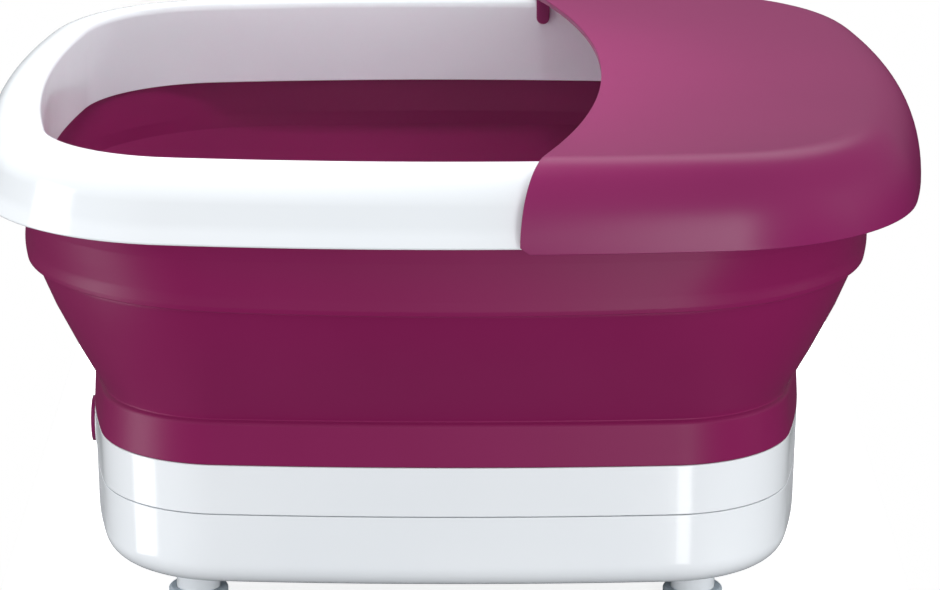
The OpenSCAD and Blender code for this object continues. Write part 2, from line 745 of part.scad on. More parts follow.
module switch_plunger() {
    color("ivory") placed() along_button() translate([0, 0, plunger_z])
        cylinder(r = plunger_r, h = plunger_l);
}

module push_switch() {
    low = board_z + board_t;
    color("black") placed() difference() {
        translate([button_x + switch_depth + switch_w / 2, 0, low])
            block([switch_w, switch_w, 2 * (button_z - low)]);
        along_button()
            cylinder(r = plunger_r + run_gap, h = plunger_z + plunger_l + button_travel + slip_gap);
    }
}

// ---- Electronics and heater ------------------------------------------------------------------

module control_board() {
    color("darkgreen") placed() difference() {
        translate([board_x, 0, board_z]) block([board_l, board_w, board_t]);
        at_board_holes() translate([0, 0, board_z - 1]) cylinder(r = screw_r + screw_clear, h = board_t + 2);
    }
}

// Relay, capacitor, choke and the lead's plug, soldered to the board.
module board_parts() {
    color("navy") placed() translate([board_x, 0, board_z + board_t]) {
        translate([board_l / 6, board_w / 5, 0]) block(relay_size);
        translate([-board_l / 12, -board_w * 0.22, 0]) cylinder(r = capacitor_r, h = relay_size[2] - 1);
        translate([board_l / 5, -board_w * 0.24, 0]) cylinder(r = choke_r, h = plug_size[2]);
        translate([board_l * 0.3, -board_w / 45, 0]) block(plug_size);
    }
}

module heater_plate() {
    color("silver") placed() translate([0, 0, floor_under - heater_t]) difference() {
        block([heater_l, heater_w, heater_t]);
        for (sx = [-1, 1], sy = [-1, 1])
            translate([sx * (heater_l / 2 - 4), sy * (heater_w / 2 - 4), -1])
                cylinder(r = 1.6, h = heater_t + 2);
    }
}

module heater_foil() {
    color("goldenrod") placed() translate([0, 0, floor_under - heater_t - foil_t])
        block([heater_l - 18, heater_w - 10, foil_t]);
}

module thermostat() {
    color("tan") placed() translate([heater_l / 4, 0, floor_under - heater_t - foil_t]) mirror([0, 0, 1]) {
        cylinder(r = 7.5, h = 2);
        cylinder(r = 6, h = 6);
        translate([-8, -2.5, 4]) cube([16, 5, 0.8]);
    }
}

module thermal_fuse() {
    color("white") placed() translate([-heater_l / 4 - 8, 0, floor_under - heater_t - foil_t - 2])
        rod_x(2, 16);
}

// ---- Vibration motor -------------------------------------------------------------------------

module along_motor() { translate([motor_x - motor_l / 2, motor_y, motor_z]) rotate([0, 90, 0]) children(); }

module motor_can() {
    color("silver") placed() along_motor() difference() {
        cylinder(r = motor_r, h = motor_l);
        translate([0, 0, -1]) cylinder(r = motor_r - can_t, h = motor_l - can_t + 1);
        cylinder(r = bush_r, h = motor_l + 1);
    }
}

module motor_end_cap() {
    color("ivory") placed() along_motor() tube(motor_r - can_t, bush_r, cap_t);
}

module motor_bushes() {
    color("goldenrod") placed() along_motor() for (z = [0, motor_l - bush_l])
        translate([0, 0, z]) tube(bush_r, shaft_r + run_gap, bush_l);
}

module motor_magnets() {
    color("dimgray") placed() along_motor() for (a = [0, 180])
        translate([0, 0, cap_t + 2]) rotate(a + 20) rotate_extrude(angle = 140)
            translate([motor_r - can_t - 2, 0]) square([2, motor_l - cap_t - bush_l - 5]);
}

module motor_shaft() {
    color("lightgray") placed() along_motor()
        translate([0, 0, -2]) cylinder(r = shaft_r, h = weight_z + weight_l + 3);
}

module rotor_core() {
    color("brown") placed() along_motor()
        translate([0, 0, cap_t + 4]) tube(motor_r - can_t - 2.8, shaft_r, motor_l - cap_t - bush_l - 9);
}

module vibration_weight() {
    color("gray") placed() along_motor() translate([0, 0, weight_z]) difference() {
        union() {
            rotate(-90) rotate_extrude(angle = 180) square([weight_r, weight_l]);
            cylinder(r = shaft_r + 2.5, h = weight_l);
        }
        translate([0, 0, -1]) cylinder(r = shaft_r, h = weight_l + 2);
    }
}

module motor_sleeve() {
    color("dimgray") placed() along_motor()
        translate([0, 0, (motor_l - strap_w) / 2]) tube(motor_r + sleeve_t, motor_r, strap_w);
}

module motor_strap() {
    r = motor_r + sleeve_t;
    color("silver") placed() translate([motor_x, motor_y, motor_z]) difference() {
        union() {
            translate([-strap_w / 2, 0, 0]) rod_x(r + strap_t, strap_w);
            block([strap_w, 2 * (motor_boss_y + 5), strap_t]);
        }
        translate([-strap_w, 0, 0]) rod_x(r, 2 * strap_w);
        translate([0, 0, strap_t]) block([2 * strap_w, 4 * r, r + 5]);
        for (sy = [-1, 1]) translate([0, sy * motor_boss_y, -5]) cylinder(r = screw_r + screw_clear, h = 10);
    }
}

// ---- Air pump --------------------------------------------------------------------------------

module rounded_box(l, w, h, r) {
    block([l, w - 2 * r, h]);
    block([l - 2 * r, w, h]);
    for (sx = [-1, 1], sy = [-1, 1])
        translate([sx * (l / 2 - r), sy * (w / 2 - r), 0]) cylinder(r = r, h = h);
}

module at_pump() { translate([pump_x, pump_y, pump_z]) children(); }

module pump_case() {
    ear = 4;
    color("black") placed() at_pump() {
        difference() {
            rounded_box(pump_l, pump_w, pump_h, 5);
            translate([0, 0, pump_wall])
                rounded_box(pump_l - 2 * pump_wall, pump_w - 2 * pump_wall, pump_h, 3);
            translate([pump_l / 2 - 10, 0, outlet_z - pump_z]) rod_x(hose_bore_r + seat_gap, 20);
        }
        for (sy = [-1, 1]) difference() {
            translate([pin_x, sy * (arm_w / 2 + slip_gap + ear / 2), pump_wall - 0.5])
                block([2 * pin_r + 4, ear, arm_z + pin_r + 2 - pump_wall]);
            translate([pin_x, -20, arm_z]) rod_y(pin_r, 40);
        }
    }
}

module pump_cover() {
    color("black") placed() at_pump() translate([0, 0, pump_h]) {
        rounded_box(pump_l, pump_w, pump_cover_t, 5);
        translate([0, 0, -2]) difference() {
            rounded_box(pump_l - 2 * pump_wall - 2 * seat_gap, pump_w - 2 * pump_wall - 2 * seat_gap,
                2.5, 2.8);
            translate([0, 0, -1]) rounded_box(pump_l - 2 * pump_wall - 4, pump_w - 2 * pump_wall - 4, 4, 2);
        }
    }
}

module pump_grommets() {
    color("dimgray") placed() at_grommets() translate([0, 0, housing_floor])
        tube(grommet_pin_r + 2.6, grommet_pin_r, grommet_h);
}

module pump_core() {
    color("slategray") placed() at_pump() translate([core_x, 0, pump_wall]) {
        block([core_l, core_w, core_t]);
        for (x = [-1, 0, 1])
            translate([x * (core_l - core_t - 2) / 2, 0, 0])
                block([core_t + 2, core_w, core_top - pump_wall]);
    }
}

module pump_coil() {
    l = core_l - 2 * (core_t + 2) - 1;
    color("chocolate") placed() at_pump() translate([core_x, 0, pump_wall + core_t]) difference() {
        rounded_box(l, core_w + 10, core_top - pump_wall - core_t - 0.6, 4);
        translate([0, 0, -1]) block([core_t + 2.4, core_w + 0.4, 20]);
    }
}

module pump_pin() {
    color("lightgray") placed() at_pump()
        translate([pin_x, -arm_w / 2 - slip_gap - 5, arm_z]) rod_y(pin_r, arm_w + 2 * slip_gap + 10);
}

module pump_arm() {
    color("lightsteelblue") placed() at_pump() difference() {
        union() {
            translate([pin_x, -arm_w / 2, arm_z]) rod_y(pin_r + 2.2, arm_w);
            translate([pin_x, -arm_w / 2, arm_z - arm_t / 2]) cube([diaphragm_x + 4 - pin_x, arm_w, arm_t]);
        }
        translate([pin_x, -20, arm_z]) rod_y(pin_r + run_gap, 40);
    }
}

module pump_magnet() {
    color("dimgray") placed() at_pump()
        translate([core_x, 0, arm_z - arm_t / 2 - magnet_t]) block([magnet_l, core_w - 3, magnet_t]);
}

module pump_valve_box() {
    color("ivory") placed() at_pump() difference() {
        union() {
            translate([diaphragm_x, 0, pump_wall]) block([valve_w, valve_w, valve_h]);
            translate([diaphragm_x, 0, outlet_z - pump_z])
                rod_x(hose_bore_r, pump_l / 2 + nipple_l - diaphragm_x);
        }
        translate([diaphragm_x, 0, outlet_z - pump_z]) rod_x(hose_bore_r - nipple_wall, pump_l);
        translate([diaphragm_x, 0, outlet_z - pump_z]) cylinder(r = 4, h = valve_h);
    }
}

// A rubber cup on the valve box, worked by the arm's free end.
module pump_diaphragm() {
    low = pump_wall + valve_h;
    rise = arm_z - arm_t / 2 - low - seat_gap / 2;
    color("dimgray") placed() at_pump() translate([diaphragm_x, 0, low]) rotate_extrude()
        polygon([[0, rise - 1.6], [4.4, rise - 1.6], [7.6, 0], [valve_w / 2 - 1, 0], [valve_w / 2 - 1, 1.2],
            [8.4, 1.2], [5, rise], [0, rise]]);
}

module check_valve() {
    color("white") placed() translate([valve_x - valve_l / 2, pump_y, outlet_z]) difference() {
        union() {
            rod_x(hose_bore_r, valve_l);
            translate([valve_l / 5, 0, 0]) rod_x(valve_r, valve_l * 3 / 5);
        }
        translate([-1, 0, 0]) rod_x(hose_bore_r - nipple_wall, valve_l + 2);
    }
}

module hose_x(x0, x1) {
    translate([x0, 0, 0]) difference() {
        rod_x(hose_r, x1 - x0);
        translate([-1, 0, 0]) rod_x(hose_bore_r, x1 - x0 + 2);
    }
}

module air_hose_pump() {
    color("lightgray") placed() translate([0, pump_y, outlet_z])
        hose_x(pump_x + pump_l / 2 + 1, valve_x - valve_l * 3 / 10);
}

module air_tee() {
    color("white") placed() translate([tee_x, pump_y, outlet_z]) difference() {
        union() {
            sphere(r = tee_r);
            translate([-tee_arm, 0, 0]) rod_x(hose_bore_r, tee_arm);
            translate([0, -tee_arm, 0]) rod_y(hose_bore_r, tee_arm);
            cylinder(r = hose_bore_r, h = tee_arm);
        }
        translate([-tee_arm - 1, 0, 0]) rod_x(hose_bore_r - nipple_wall, tee_arm + 1);
        translate([0, -tee_arm - 1, 0]) rod_y(hose_bore_r - nipple_wall, tee_arm + 1);
        cylinder(r = hose_bore_r - nipple_wall, h = tee_arm + 1);
    }
}

// Three hoses: valve to tee, tee up to the back rail, and tee across and up to the front rail.
module air_hose_floor() {
    top = floor_under - 1;
    cross_l = pump_y + foot_line - tee_r - hose_bend_r;
    color("lightgray") placed() {
        translate([0, pump_y, outlet_z]) hose_x(valve_x + valve_l * 3 / 10, tee_x - tee_r);
        translate([tee_x, foot_line, outlet_z + tee_r]) tube(hose_r, hose_bore_r, top - outlet_z - tee_r);
        translate([tee_x, pump_y - tee_r, outlet_z]) rotate([90, 0, 0]) tube(hose_r, hose_bore_r, cross_l);
        translate([tee_x, hose_bend_r - foot_line, outlet_z + hose_bend_r]) rotate([0, 90, 0]) rotate(-90)
            rotate_extrude(angle = 90) translate([hose_bend_r, 0]) difference() {
                circle(hose_r);
                circle(hose_bore_r);
            }
        translate([tee_x, -foot_line, outlet_z + hose_bend_r])
            tube(hose_r, hose_bore_r, top - outlet_z - hose_bend_r);
    }
}

// ---- Mains lead inlet ------------------------------------------------------------------------

module lead_gland() {
    color("dimgray") placed() translate([gland_x, gland_y, gland_z]) rotate([-90, 0, 0]) rotate_extrude()
        polygon([[lead_r, gland_lip + gland_rim], [gland_r + 1, gland_lip + gland_rim],
            [gland_r + 2.5, gland_lip + 1], [gland_r + 2.5, gland_lip], [gland_r, gland_lip],
            [gland_r, -base_wall - gland_lip], [gland_r + 1.8, -base_wall - gland_lip],
            [gland_r + 1.2, -base_wall - gland_lip - 2.4], [lead_r, -base_wall - gland_lip - 2.4]]);
}

module lead_clamp() {
    color("black") placed() translate([gland_x, clamp_y, gland_z + 0.5]) difference() {
        block([2 * clamp_screw_x + 9, clamp_w, clamp_h]);
        translate([0, -clamp_w, -0.5]) rod_y(lead_r, 2 * clamp_w);
        for (sx = [-1, 1]) translate([sx * clamp_screw_x, 0, -1])
            cylinder(r = screw_r + screw_clear, h = clamp_h + 2);
    }
}

module terminal_block() {
    color("ivory") placed() translate([gland_x, clamp_y - 22, housing_floor]) difference() {
        block([24, 16, 12]);
        for (x = [-8, 0, 8], y = [-4, 4]) translate([x, y, 4]) cylinder(r = 2, h = 10);
    }
}

// ---- Splash guard ----------------------------------------------------------------------------

// A round-ended tab just inside the rim, turned to follow its inner wall.
module guard_tab(x, sy) {
    bow = rim_side_r + rim_inner_x - guard_gap - guard_wall;
    low = rim_top + guard_gap - tab_l + tab_w / 2;
    translate([0, sy * (rim_half_d - rim_side_r), low])
        rotate(-sy * asin(x / bow)) mirror([0, sy < 0 ? 1 : 0, 0]) {
        translate([0, bow, 0]) rod_y(tab_w / 2, guard_wall);
        translate([0, bow + guard_wall / 2, 0]) block([tab_w, guard_wall, tab_l - tab_w / 2 + 0.5]);
    }
}

module splash_guard() {
    under = rim_top + guard_gap;
    low = rim_z - guard_drop;
    reach = rim_inner_x - 12;
    crest = arc_points([rim_round_x, rim_round_z], rim_round_r + guard_gap + guard_wall, 0, 90, 7);
    hollow = arc_points([rim_round_x, rim_round_z], rim_round_r + guard_gap, 90, 0, 7);
    color("mediumvioletred") placed() {
        difference() {
            union() {
                oval_loft(rim_oval, concat([[guard_flare, low]], crest,
                    [[reach, under + guard_wall], [reach, under]], hollow,
                        [[guard_flare - guard_wall, low]]));
                oval_plate(rim_oval, reach + 4, under, guard_wall);
            }
            translate([guard_cut_x - guard_cut_r, 0, 0])
                cylinder(r = guard_cut_r, h = 2 * rim_top, $fn = 720);
        }
        for (x = tab_places, sy = [-1, 1]) guard_tab(x, sy);
    }
}

tub_base();
bottom_housing();
base_seal();
silicone_wall();
cuff_ring();
housing_screws();
inner_screws();
massage_plate_front();
massage_plate_back();
rim_shell();
rim_clamp_ring();
rim_screws();
splash_guard();
foot_stem_fl();
foot_stem_fr();
foot_stem_bl();
foot_stem_br();
foot_pad_fl();
foot_pad_fr();
foot_pad_bl();
foot_pad_br();
button_cap();
button_bezel();
button_seal();
push_switch();
switch_plunger();
control_board();
board_parts();
heater_plate();
heater_foil();
thermostat();
thermal_fuse();
motor_can();
motor_end_cap();
motor_bushes();
motor_magnets();
motor_sleeve();
motor_strap();
motor_shaft();
rotor_core();
vibration_weight();
pump_case();
pump_cover();
pump_grommets();
pump_core();
pump_coil();
pump_pin();
pump_arm();
pump_magnet();
pump_diaphragm();
pump_valve_box();
check_valve();
air_hose_pump();
air_hose_floor();
air_tee();
lead_gland();
lead_clamp();
terminal_block();
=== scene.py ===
import math
import bmesh
import bpy
from mathutils import Matrix, Vector


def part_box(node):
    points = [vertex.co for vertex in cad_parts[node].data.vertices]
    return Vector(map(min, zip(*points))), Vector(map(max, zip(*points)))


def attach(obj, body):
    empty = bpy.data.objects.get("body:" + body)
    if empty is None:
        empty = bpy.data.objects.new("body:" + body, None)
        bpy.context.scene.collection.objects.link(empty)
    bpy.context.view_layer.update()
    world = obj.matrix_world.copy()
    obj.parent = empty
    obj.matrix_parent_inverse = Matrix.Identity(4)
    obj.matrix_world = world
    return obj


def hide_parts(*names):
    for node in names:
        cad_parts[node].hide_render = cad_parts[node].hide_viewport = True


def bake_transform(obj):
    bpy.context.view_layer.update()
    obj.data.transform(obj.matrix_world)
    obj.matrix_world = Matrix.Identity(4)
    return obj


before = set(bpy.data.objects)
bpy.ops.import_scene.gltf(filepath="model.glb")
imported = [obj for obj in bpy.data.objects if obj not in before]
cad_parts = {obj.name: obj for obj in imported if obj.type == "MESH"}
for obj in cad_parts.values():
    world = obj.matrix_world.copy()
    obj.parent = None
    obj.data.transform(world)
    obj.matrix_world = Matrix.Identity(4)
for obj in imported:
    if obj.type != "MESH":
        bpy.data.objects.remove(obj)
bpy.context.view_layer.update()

# ---- Camera ----------------------------------------------------------------------------------
# A long lens that looks a little down on the front. The shift places the basin in the frame,
# which cuts off the back of the rim and the pads.
looks_at = Vector((-0.00175, 0.0, 0.103))
distance = 1.9
pitch = math.radians(16.46)
turn = math.radians(0.2)
camera = bpy.data.objects.new("camera", bpy.data.cameras.new("camera"))
camera.data.lens = 154.3
camera.data.sensor_width = 36
camera.data.shift_x = 0.0253
camera.data.shift_y = 0.0276
camera.data.clip_start = 0.05
camera.data.clip_end = 50
camera.location = looks_at + distance * Vector((
    math.sin(turn) * math.cos(pitch), -math.cos(turn) * math.cos(pitch), math.sin(pitch)))
camera.rotation_euler = (math.pi / 2 - pitch, 0, turn)
bpy.context.scene.collection.objects.link(camera)
bpy.context.scene.camera = camera
bpy.context.scene.view_settings.view_transform = "Standard"

# ---- Studio ----------------------------------------------------------------------------------
# A small pale table in a white room, with the basin's soft shadow on it. Two low softboxes give
# the glossy corners their upright highlights, and the fills stay out of reflections. The last
# lamp is narrow and lights the inside of the tub.


def linear(code):
    """An sRGB hex colour as the linear colour that a shader takes."""
    parts = [int(code[i:i + 2], 16) / 255 for i in (1, 3, 5)]
    return [c / 12.92 if c <= 0.04045 else ((c + 0.055) / 1.055) ** 2.4 for c in parts] + [1.0]


def add(tree, kind, settings=None, links=None):
    """Adds a node with its settings and links. A setting is an attribute or an input's value."""
    made = tree.nodes.new(kind)
    for key, value in (settings or {}).items():
        if hasattr(made, key):
            setattr(made, key, value)
        else:
            made.inputs[key].default_value = value
    for key, source in (links or {}).items():
        tree.links.new(source, made.inputs[key])
    return made


world = bpy.data.worlds.new("studio")
bpy.context.scene.world = world
world.use_nodes = True
tree = world.node_tree
tree.nodes.clear()
rays = add(tree, "ShaderNodeLightPath")
seen = add(tree, "ShaderNodeMath", {"operation": "MAXIMUM"})
tree.links.new(rays.outputs["Is Camera Ray"], seen.inputs[0])
tree.links.new(rays.outputs["Is Transmission Ray"], seen.inputs[1])
place = add(tree, "ShaderNodeTexCoord")
way = add(tree, "ShaderNodeSeparateXYZ", {}, {"Vector": place.outputs["Object"]})
dome = add(tree, "ShaderNodeMapRange", {
    "From Min": -0.10, "From Max": 0.10, "To Min": 0.05, "To Max": 0.52}, {"Value": way.outputs["Z"]})
dimmer = add(tree, "ShaderNodeMapRange", {"To Min": 1.0, "To Max": 0.4}, {
    "Value": rays.outputs["Is Glossy Ray"]})
lit = add(tree, "ShaderNodeMath", {"operation": "MULTIPLY"}, {0: dome.outputs["Result"]})
tree.links.new(dimmer.outputs["Result"], lit.inputs[1])
level = add(tree, "ShaderNodeMix", {}, {"Factor": seen.outputs[0]})
tree.links.new(lit.outputs[0], level.inputs["A"])
level.inputs["B"].default_value = 1.0
sky = add(tree, "ShaderNodeBackground", {"Color": linear("#ffffff")}, {"Strength": level.outputs["Result"]})
add(tree, "ShaderNodeOutputWorld", {}, {"Surface": sky.outputs["Background"]})

paper = bpy.data.materials.new("studio_paper")
paper.use_nodes = True
tree = paper.node_tree
tree.nodes.clear()
rays = add(tree, "ShaderNodeLightPath")
place = add(tree, "ShaderNodeTexCoord")
fibre = add(tree, "ShaderNodeTexNoise", {"Scale": 1 / 0.4, "Detail": 2.0}, {
    "Vector": place.outputs["Object"]})
tone = add(tree, "ShaderNodeValToRGB", {}, {"Fac": fibre.outputs["Fac"]})
tone.color_ramp.elements[0].color = linear("#e6e8ea")
tone.color_ramp.elements[1].color = linear("#ebedef")
dark = add(tree, "ShaderNodeMix", {"data_type": "RGBA"}, {"Factor": rays.outputs["Is Camera Ray"]})
dark.inputs[6].default_value = linear("#8d8f92")
tree.links.new(tone.outputs["Color"], dark.inputs[7])
matt = add(tree, "ShaderNodeBsdfDiffuse", {}, {"Color": dark.outputs[2]})
lift = add(tree, "ShaderNodeMath", {"operation": "MULTIPLY"}, {0: rays.outputs["Is Camera Ray"]})
lift.inputs[1].default_value = 0.8
glow = add(tree, "ShaderNodeEmission", {}, {"Strength": lift.outputs[0]})
both = add(tree, "ShaderNodeAddShader", {}, {0: matt.outputs["BSDF"], 1: glow.outputs["Emission"]})
add(tree, "ShaderNodeOutputMaterial", {}, {"Surface": both.outputs["Shader"]})
table_left, table_right, table_front, table_back = -0.205, 0.21, -0.2, 1.6
floor_mesh = bpy.data.meshes.new("studio_floor")
floor_mesh.from_pydata([(table_left, table_front, 0), (table_right, table_front, 0),
                        (table_right, table_back, 0), (table_left, table_back, 0)], [], [(0, 1, 2, 3)])
floor_mesh.materials.append(paper)
studio_floor = bpy.data.objects.new("studio_floor", floor_mesh)
bpy.context.scene.collection.objects.link(studio_floor)

wide = math.pi
for name, size, spot, aim, spread, power, reflected in (
        ("back_overhead", (1.6, 0.8), (0.1, 1.2, 1.5), (0, 0, 0.10), wide, 5.0, True),
        ("high_fill", (1.6, 0.8), (0.0, 1.0, 1.5), (0, 0, 0.10), wide, 22.0, False),
        ("front_fill", (1.2, 0.5), (0.0, -2.2, 0.05), (0, 0, 0.05), wide, 14.0, False),
        ("right_fill", (0.6, 0.9), (1.28, -0.226, 0.30), (0, 0, 0.30), wide, 5.5, False),
        ("left_softbox", (0.45, 1.0), (-1.116, -0.278, 0.05), (0, 0, 0.05), wide, 7.5, True),
        ("right_softbox", (0.25, 1.0), (0.462, -1.172, 0.05), (0, 0, 0.05), wide, 4.6, True),
        ("inside_fill", (0.25, 0.25), (-0.08, -0.02, 0.90), (-0.08, -0.02, 0), math.radians(40), 0.5, False)):
    lamp = bpy.data.lights.new(name, "AREA")
    lamp.shape, lamp.spread, lamp.energy = "RECTANGLE", spread, power
    lamp.size, lamp.size_y = size
    stand = bpy.data.objects.new(name, lamp)
    stand.location = spot
    stand.rotation_euler = (Vector(aim) - Vector(spot)).to_track_quat("-Z", "Y").to_euler()
    stand.visible_glossy = reflected
    bpy.context.scene.collection.objects.link(stand)

# ---- Bottom housing --------------------------------------------------------------------------
# The white pan under the tub, injection moulded in glossy ABS. It is closed by screws from
# below, and it has cooling slots and a hole for the mains lead.
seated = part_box("tub_base")
middle = (seated[0].x + seated[1].x) / 2
base_shape = ((seated[1].x - seated[0].x) / 2, (seated[1].y - seated[0].y) / 2, 0.059, 1.4, 0.48)
edge_z, slope = 0.078, 0.001 / 0.046
end_steps, corner_steps, side_steps = 10, 28, 14
quarter_points = end_steps + corner_steps + side_steps


def oval(shape, offset, z):
    """A ring of points on an oval of eight arcs: half length, half depth, corner, side, end.
    It starts on the right and has quarter_points steps to each quarter."""
    length, depth, corner, side, end = shape
    end_c, side_c = Vector((length - end, 0)), Vector((0, depth - side))
    way = side_c - end_c
    along = ((end - corner) ** 2 - (side - corner) ** 2 + way.length_squared) / (2 * way.length)
    u = way.normalized()
    corner_c = end_c + u * along + Vector((-u.y, u.x)) * math.sqrt((end - corner) ** 2 - along ** 2)
    a = math.atan2(corner_c.y, corner_c.x - end_c.x)
    b = math.atan2(corner_c.y - side_c.y, corner_c.x)
    quarter = []
    for centre, radius, start, stop, steps in (
            (end_c, end, 0, a, end_steps), (corner_c, corner, a, b, corner_steps),
            (side_c, side, b, math.pi / 2, side_steps)):
        for i in range(steps):
            t = start + (stop - start) * i / steps
            quarter.append(centre + (radius + offset) * Vector((math.cos(t), math.sin(t))))
    quarter.append(side_c + Vector((0, side + offset)))
    inner, first, last = quarter[1:-1], quarter[0], quarter[-1]
    flat = [first] + inner + [last] + [Vector((-q.x, q.y)) for q in reversed(inner)]
    flat += [Vector((-first.x, first.y))] + [Vector((-q.x, -q.y)) for q in inner]
    flat += [Vector((last.x, -last.y))] + [Vector((q.x, -q.y)) for q in reversed(inner)]
    return [Vector((q.x + middle, q.y, z)) for q in flat]


def eased(path, radii, closed=True, steps=4):
    """A path of points with each corner turned into an arc of its own radius."""
    out = []
    for i, (p, r) in enumerate(zip(path, radii)):
        if r == 0 or (not closed and i in (0, len(path) - 1)):
            out.append(p)
            continue
        back, on = path[i - 1] - p, path[(i + 1) % len(path)] - p
        half = back.angle(on) / 2
        cut = min(r / math.tan(half), 0.46 * back.length, 0.46 * on.length)
        start, stop, pull = p + back.normalized() * cut, p + on.normalized() * cut, math.sin(half)
        for k in range(steps + 1):
            t = k / steps
            share = ((1 - t) ** 2, 2 * t * (1 - t) * pull, t * t)
            out.append((start * share[0] + p * share[1] + stop * share[2]) / sum(share))
    return out


def lofted(name, rings, radii, closed):
    """A mesh skinned through rings of points, with eased corners. Open ends are capped flat."""
    columns = [eased(list(path), radii, closed) for path in zip(*rings)]
    rows, round_it = len(columns[0]), len(columns)
    verts = [columns[j][i] for i in range(rows) for j in range(round_it)]
    faces = []
    for i in range(rows if closed else rows - 1):
        for j in range(round_it):
            a, b = i * round_it, ((i + 1) % rows) * round_it
            k = (j + 1) % round_it
            faces.append((a + j, a + k, b + k, b + j))
    if not closed:
        faces.append(tuple(reversed(range(round_it))))
        faces.append(tuple(range((rows - 1) * round_it, rows * round_it)))
    mesh = bpy.data.meshes.new(name)
    mesh.from_pydata(verts, [], faces)
    mesh.validate()
    return mesh


def swept(name, shape, profile, closed=True):
    """A mesh whose profile of offset, height and easing runs round an oval."""
    return lofted(name, [oval(shape, x, z) for x, z, r in profile], [r for x, z, r in profile], closed)


def arc(x, z, r, start, stop, steps):
    """Profile points on an arc, each as offset, height and no easing. Angles are in degrees."""
    angles = [math.radians(start + (stop - start) * i / steps) for i in range(steps + 1)]
    return [(x + r * math.cos(t), z + r * math.sin(t), 0) for t in angles]


def shown_smooth(name, mesh, angle=32):
    """Puts a mesh in the scene as a smooth object whose tight edges stay crisp."""
    work = bmesh.new()
    work.from_mesh(mesh)
    bmesh.ops.remove_doubles(work, verts=work.verts, dist=1e-6)
    bmesh.ops.recalc_face_normals(work, faces=work.faces)
    work.to_mesh(mesh)
    work.free()
    mesh.shade_smooth()
    mesh.set_sharp_from_angle(angle=math.radians(angle))
    made = bpy.data.objects.new(name, mesh)
    bpy.context.scene.collection.objects.link(made)
    evened = made.modifiers.new("even_normals", "WEIGHTED_NORMAL")
    evened.keep_sharp = True
    return made


def drilled(mesh, cutters):
    """The mesh with rods and blocks cut from it: (start, axis, radius, length) or (low, high)."""
    work = bmesh.new()
    for cutter in cutters:
        if len(cutter) == 4:
            start, axis, radius, length = cutter
            turn_to = Vector(axis).to_track_quat("Z", "Y").to_matrix().to_4x4()
            there = Matrix.Translation(Vector(start) + Vector(axis) * length / 2) @ turn_to
            bmesh.ops.create_cone(work, cap_ends=True, segments=64, radius1=radius, radius2=radius,
                                  depth=length, matrix=there)
        else:
            low, high = Vector(cutter[0]), Vector(cutter[1])
            size = Matrix.Diagonal((*(high - low), 1))
            bmesh.ops.create_cube(work, size=1, matrix=Matrix.Translation((low + high) / 2) @ size)
    tool_mesh = bpy.data.meshes.new("cutter")
    work.to_mesh(tool_mesh)
    work.free()
    tool = bpy.data.objects.new("cutter", tool_mesh)
    body = bpy.data.objects.new("uncut", mesh)
    for o in (tool, body):
        bpy.context.scene.collection.objects.link(o)
    cut = body.modifiers.new("cut", "BOOLEAN")
    cut.operation, cut.solver, cut.object = "DIFFERENCE", "EXACT", tool
    bpy.context.view_layer.update()
    result = bpy.data.meshes.new_from_object(body.evaluated_get(bpy.context.evaluated_depsgraph_get()))
    for o in (tool, body):
        bpy.data.objects.remove(o)
    return result


def skirt(z):
    """Offset of the base's tapered side at a height."""
    return -slope * (edge_z - z)


housing_top, housing_low, turn_r, wall_t = 0.0548, 0.020, 0.012, 0.0028
shelf_low, shelf_z, shelf_w, floor_in = 0.0478, 0.0498, 0.0028, 0.055
round_z = housing_low + turn_r
inside_x = skirt(round_z) - turn_r
profile = [(-floor_in, housing_low + wall_t, 0)]
profile += arc(inside_x, round_z, turn_r - wall_t, -90, 0, 8)
for z, inset in ((shelf_low, 0), (shelf_low, shelf_w), (shelf_z, shelf_w), (shelf_z, 0)):
    profile.append((skirt(z) - wall_t - inset, z, 0))
profile += [(skirt(housing_top) - wall_t, housing_top, 0.0003), (skirt(housing_top), housing_top, 0.0004)]
profile += arc(inside_x, round_z, turn_r, 0, -90, 12) + [(-floor_in, housing_low, 0)]
shell = swept("bottom_housing_shell", base_shape, profile, closed=False)
button_x, button_z = seated[0].x + 0.0005, 0.055
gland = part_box("lead_gland")
gland_mid = (gland[0] + gland[1]) / 2
posts = [(middle + x, side * y) for x, y in ((0.138, 0.045), (-0.132, 0.078), (0.062, 0.118), (-0.050, 0.118))
         for side in (1, -1)]
well_low, well_top, well_r = 0.010, 0.0278, 0.0042
cuts = [((x, y, well_low), (0, 0, 1), well_r, well_top - well_low) for x, y in posts]
slot_x, slot_pitch, slot_w, slot_half_l = middle + 0.008, 0.007, 0.003, 0.020
for x in [slot_x + i * slot_pitch for i in range(-2, 3)]:
    cuts.append(((x - slot_w / 2, -slot_half_l, 0.01), (x + slot_w / 2, slot_half_l, 0.03)))
cuts += [((gland_mid.x, gland[0].y - 0.01, gland_mid.z), (0, 1, 0), 0.0067, 0.04)]
button_cut = ((button_x - 0.02, 0, button_z), (1, 0, 0), 0.01315, 0.05)
shell = drilled(shell, cuts + [button_cut])
bottom_housing = shown_smooth("housing", shell)


def clouded(name, dark, light, size, detail=3.0):
    """A new material whose base colour drifts between two tones, with its tree, place and drift."""
    made = bpy.data.materials.new(name)
    made.use_nodes = True
    tree = made.node_tree
    place = add(tree, "ShaderNodeTexCoord").outputs["Object"]
    drift = add(tree, "ShaderNodeTexNoise", {"Scale": 1 / size, "Detail": detail}, {"Vector": place})
    tint = add(tree, "ShaderNodeValToRGB", {}, {"Fac": drift.outputs["Fac"]})
    for stop, tone in zip(tint.color_ramp.elements, (dark, light)):
        stop.color = linear(tone)
    tree.links.new(tint.outputs["Color"], tree.nodes["Principled BSDF"].inputs["Base Color"])
    return made, tree, place, drift.outputs["Fac"]


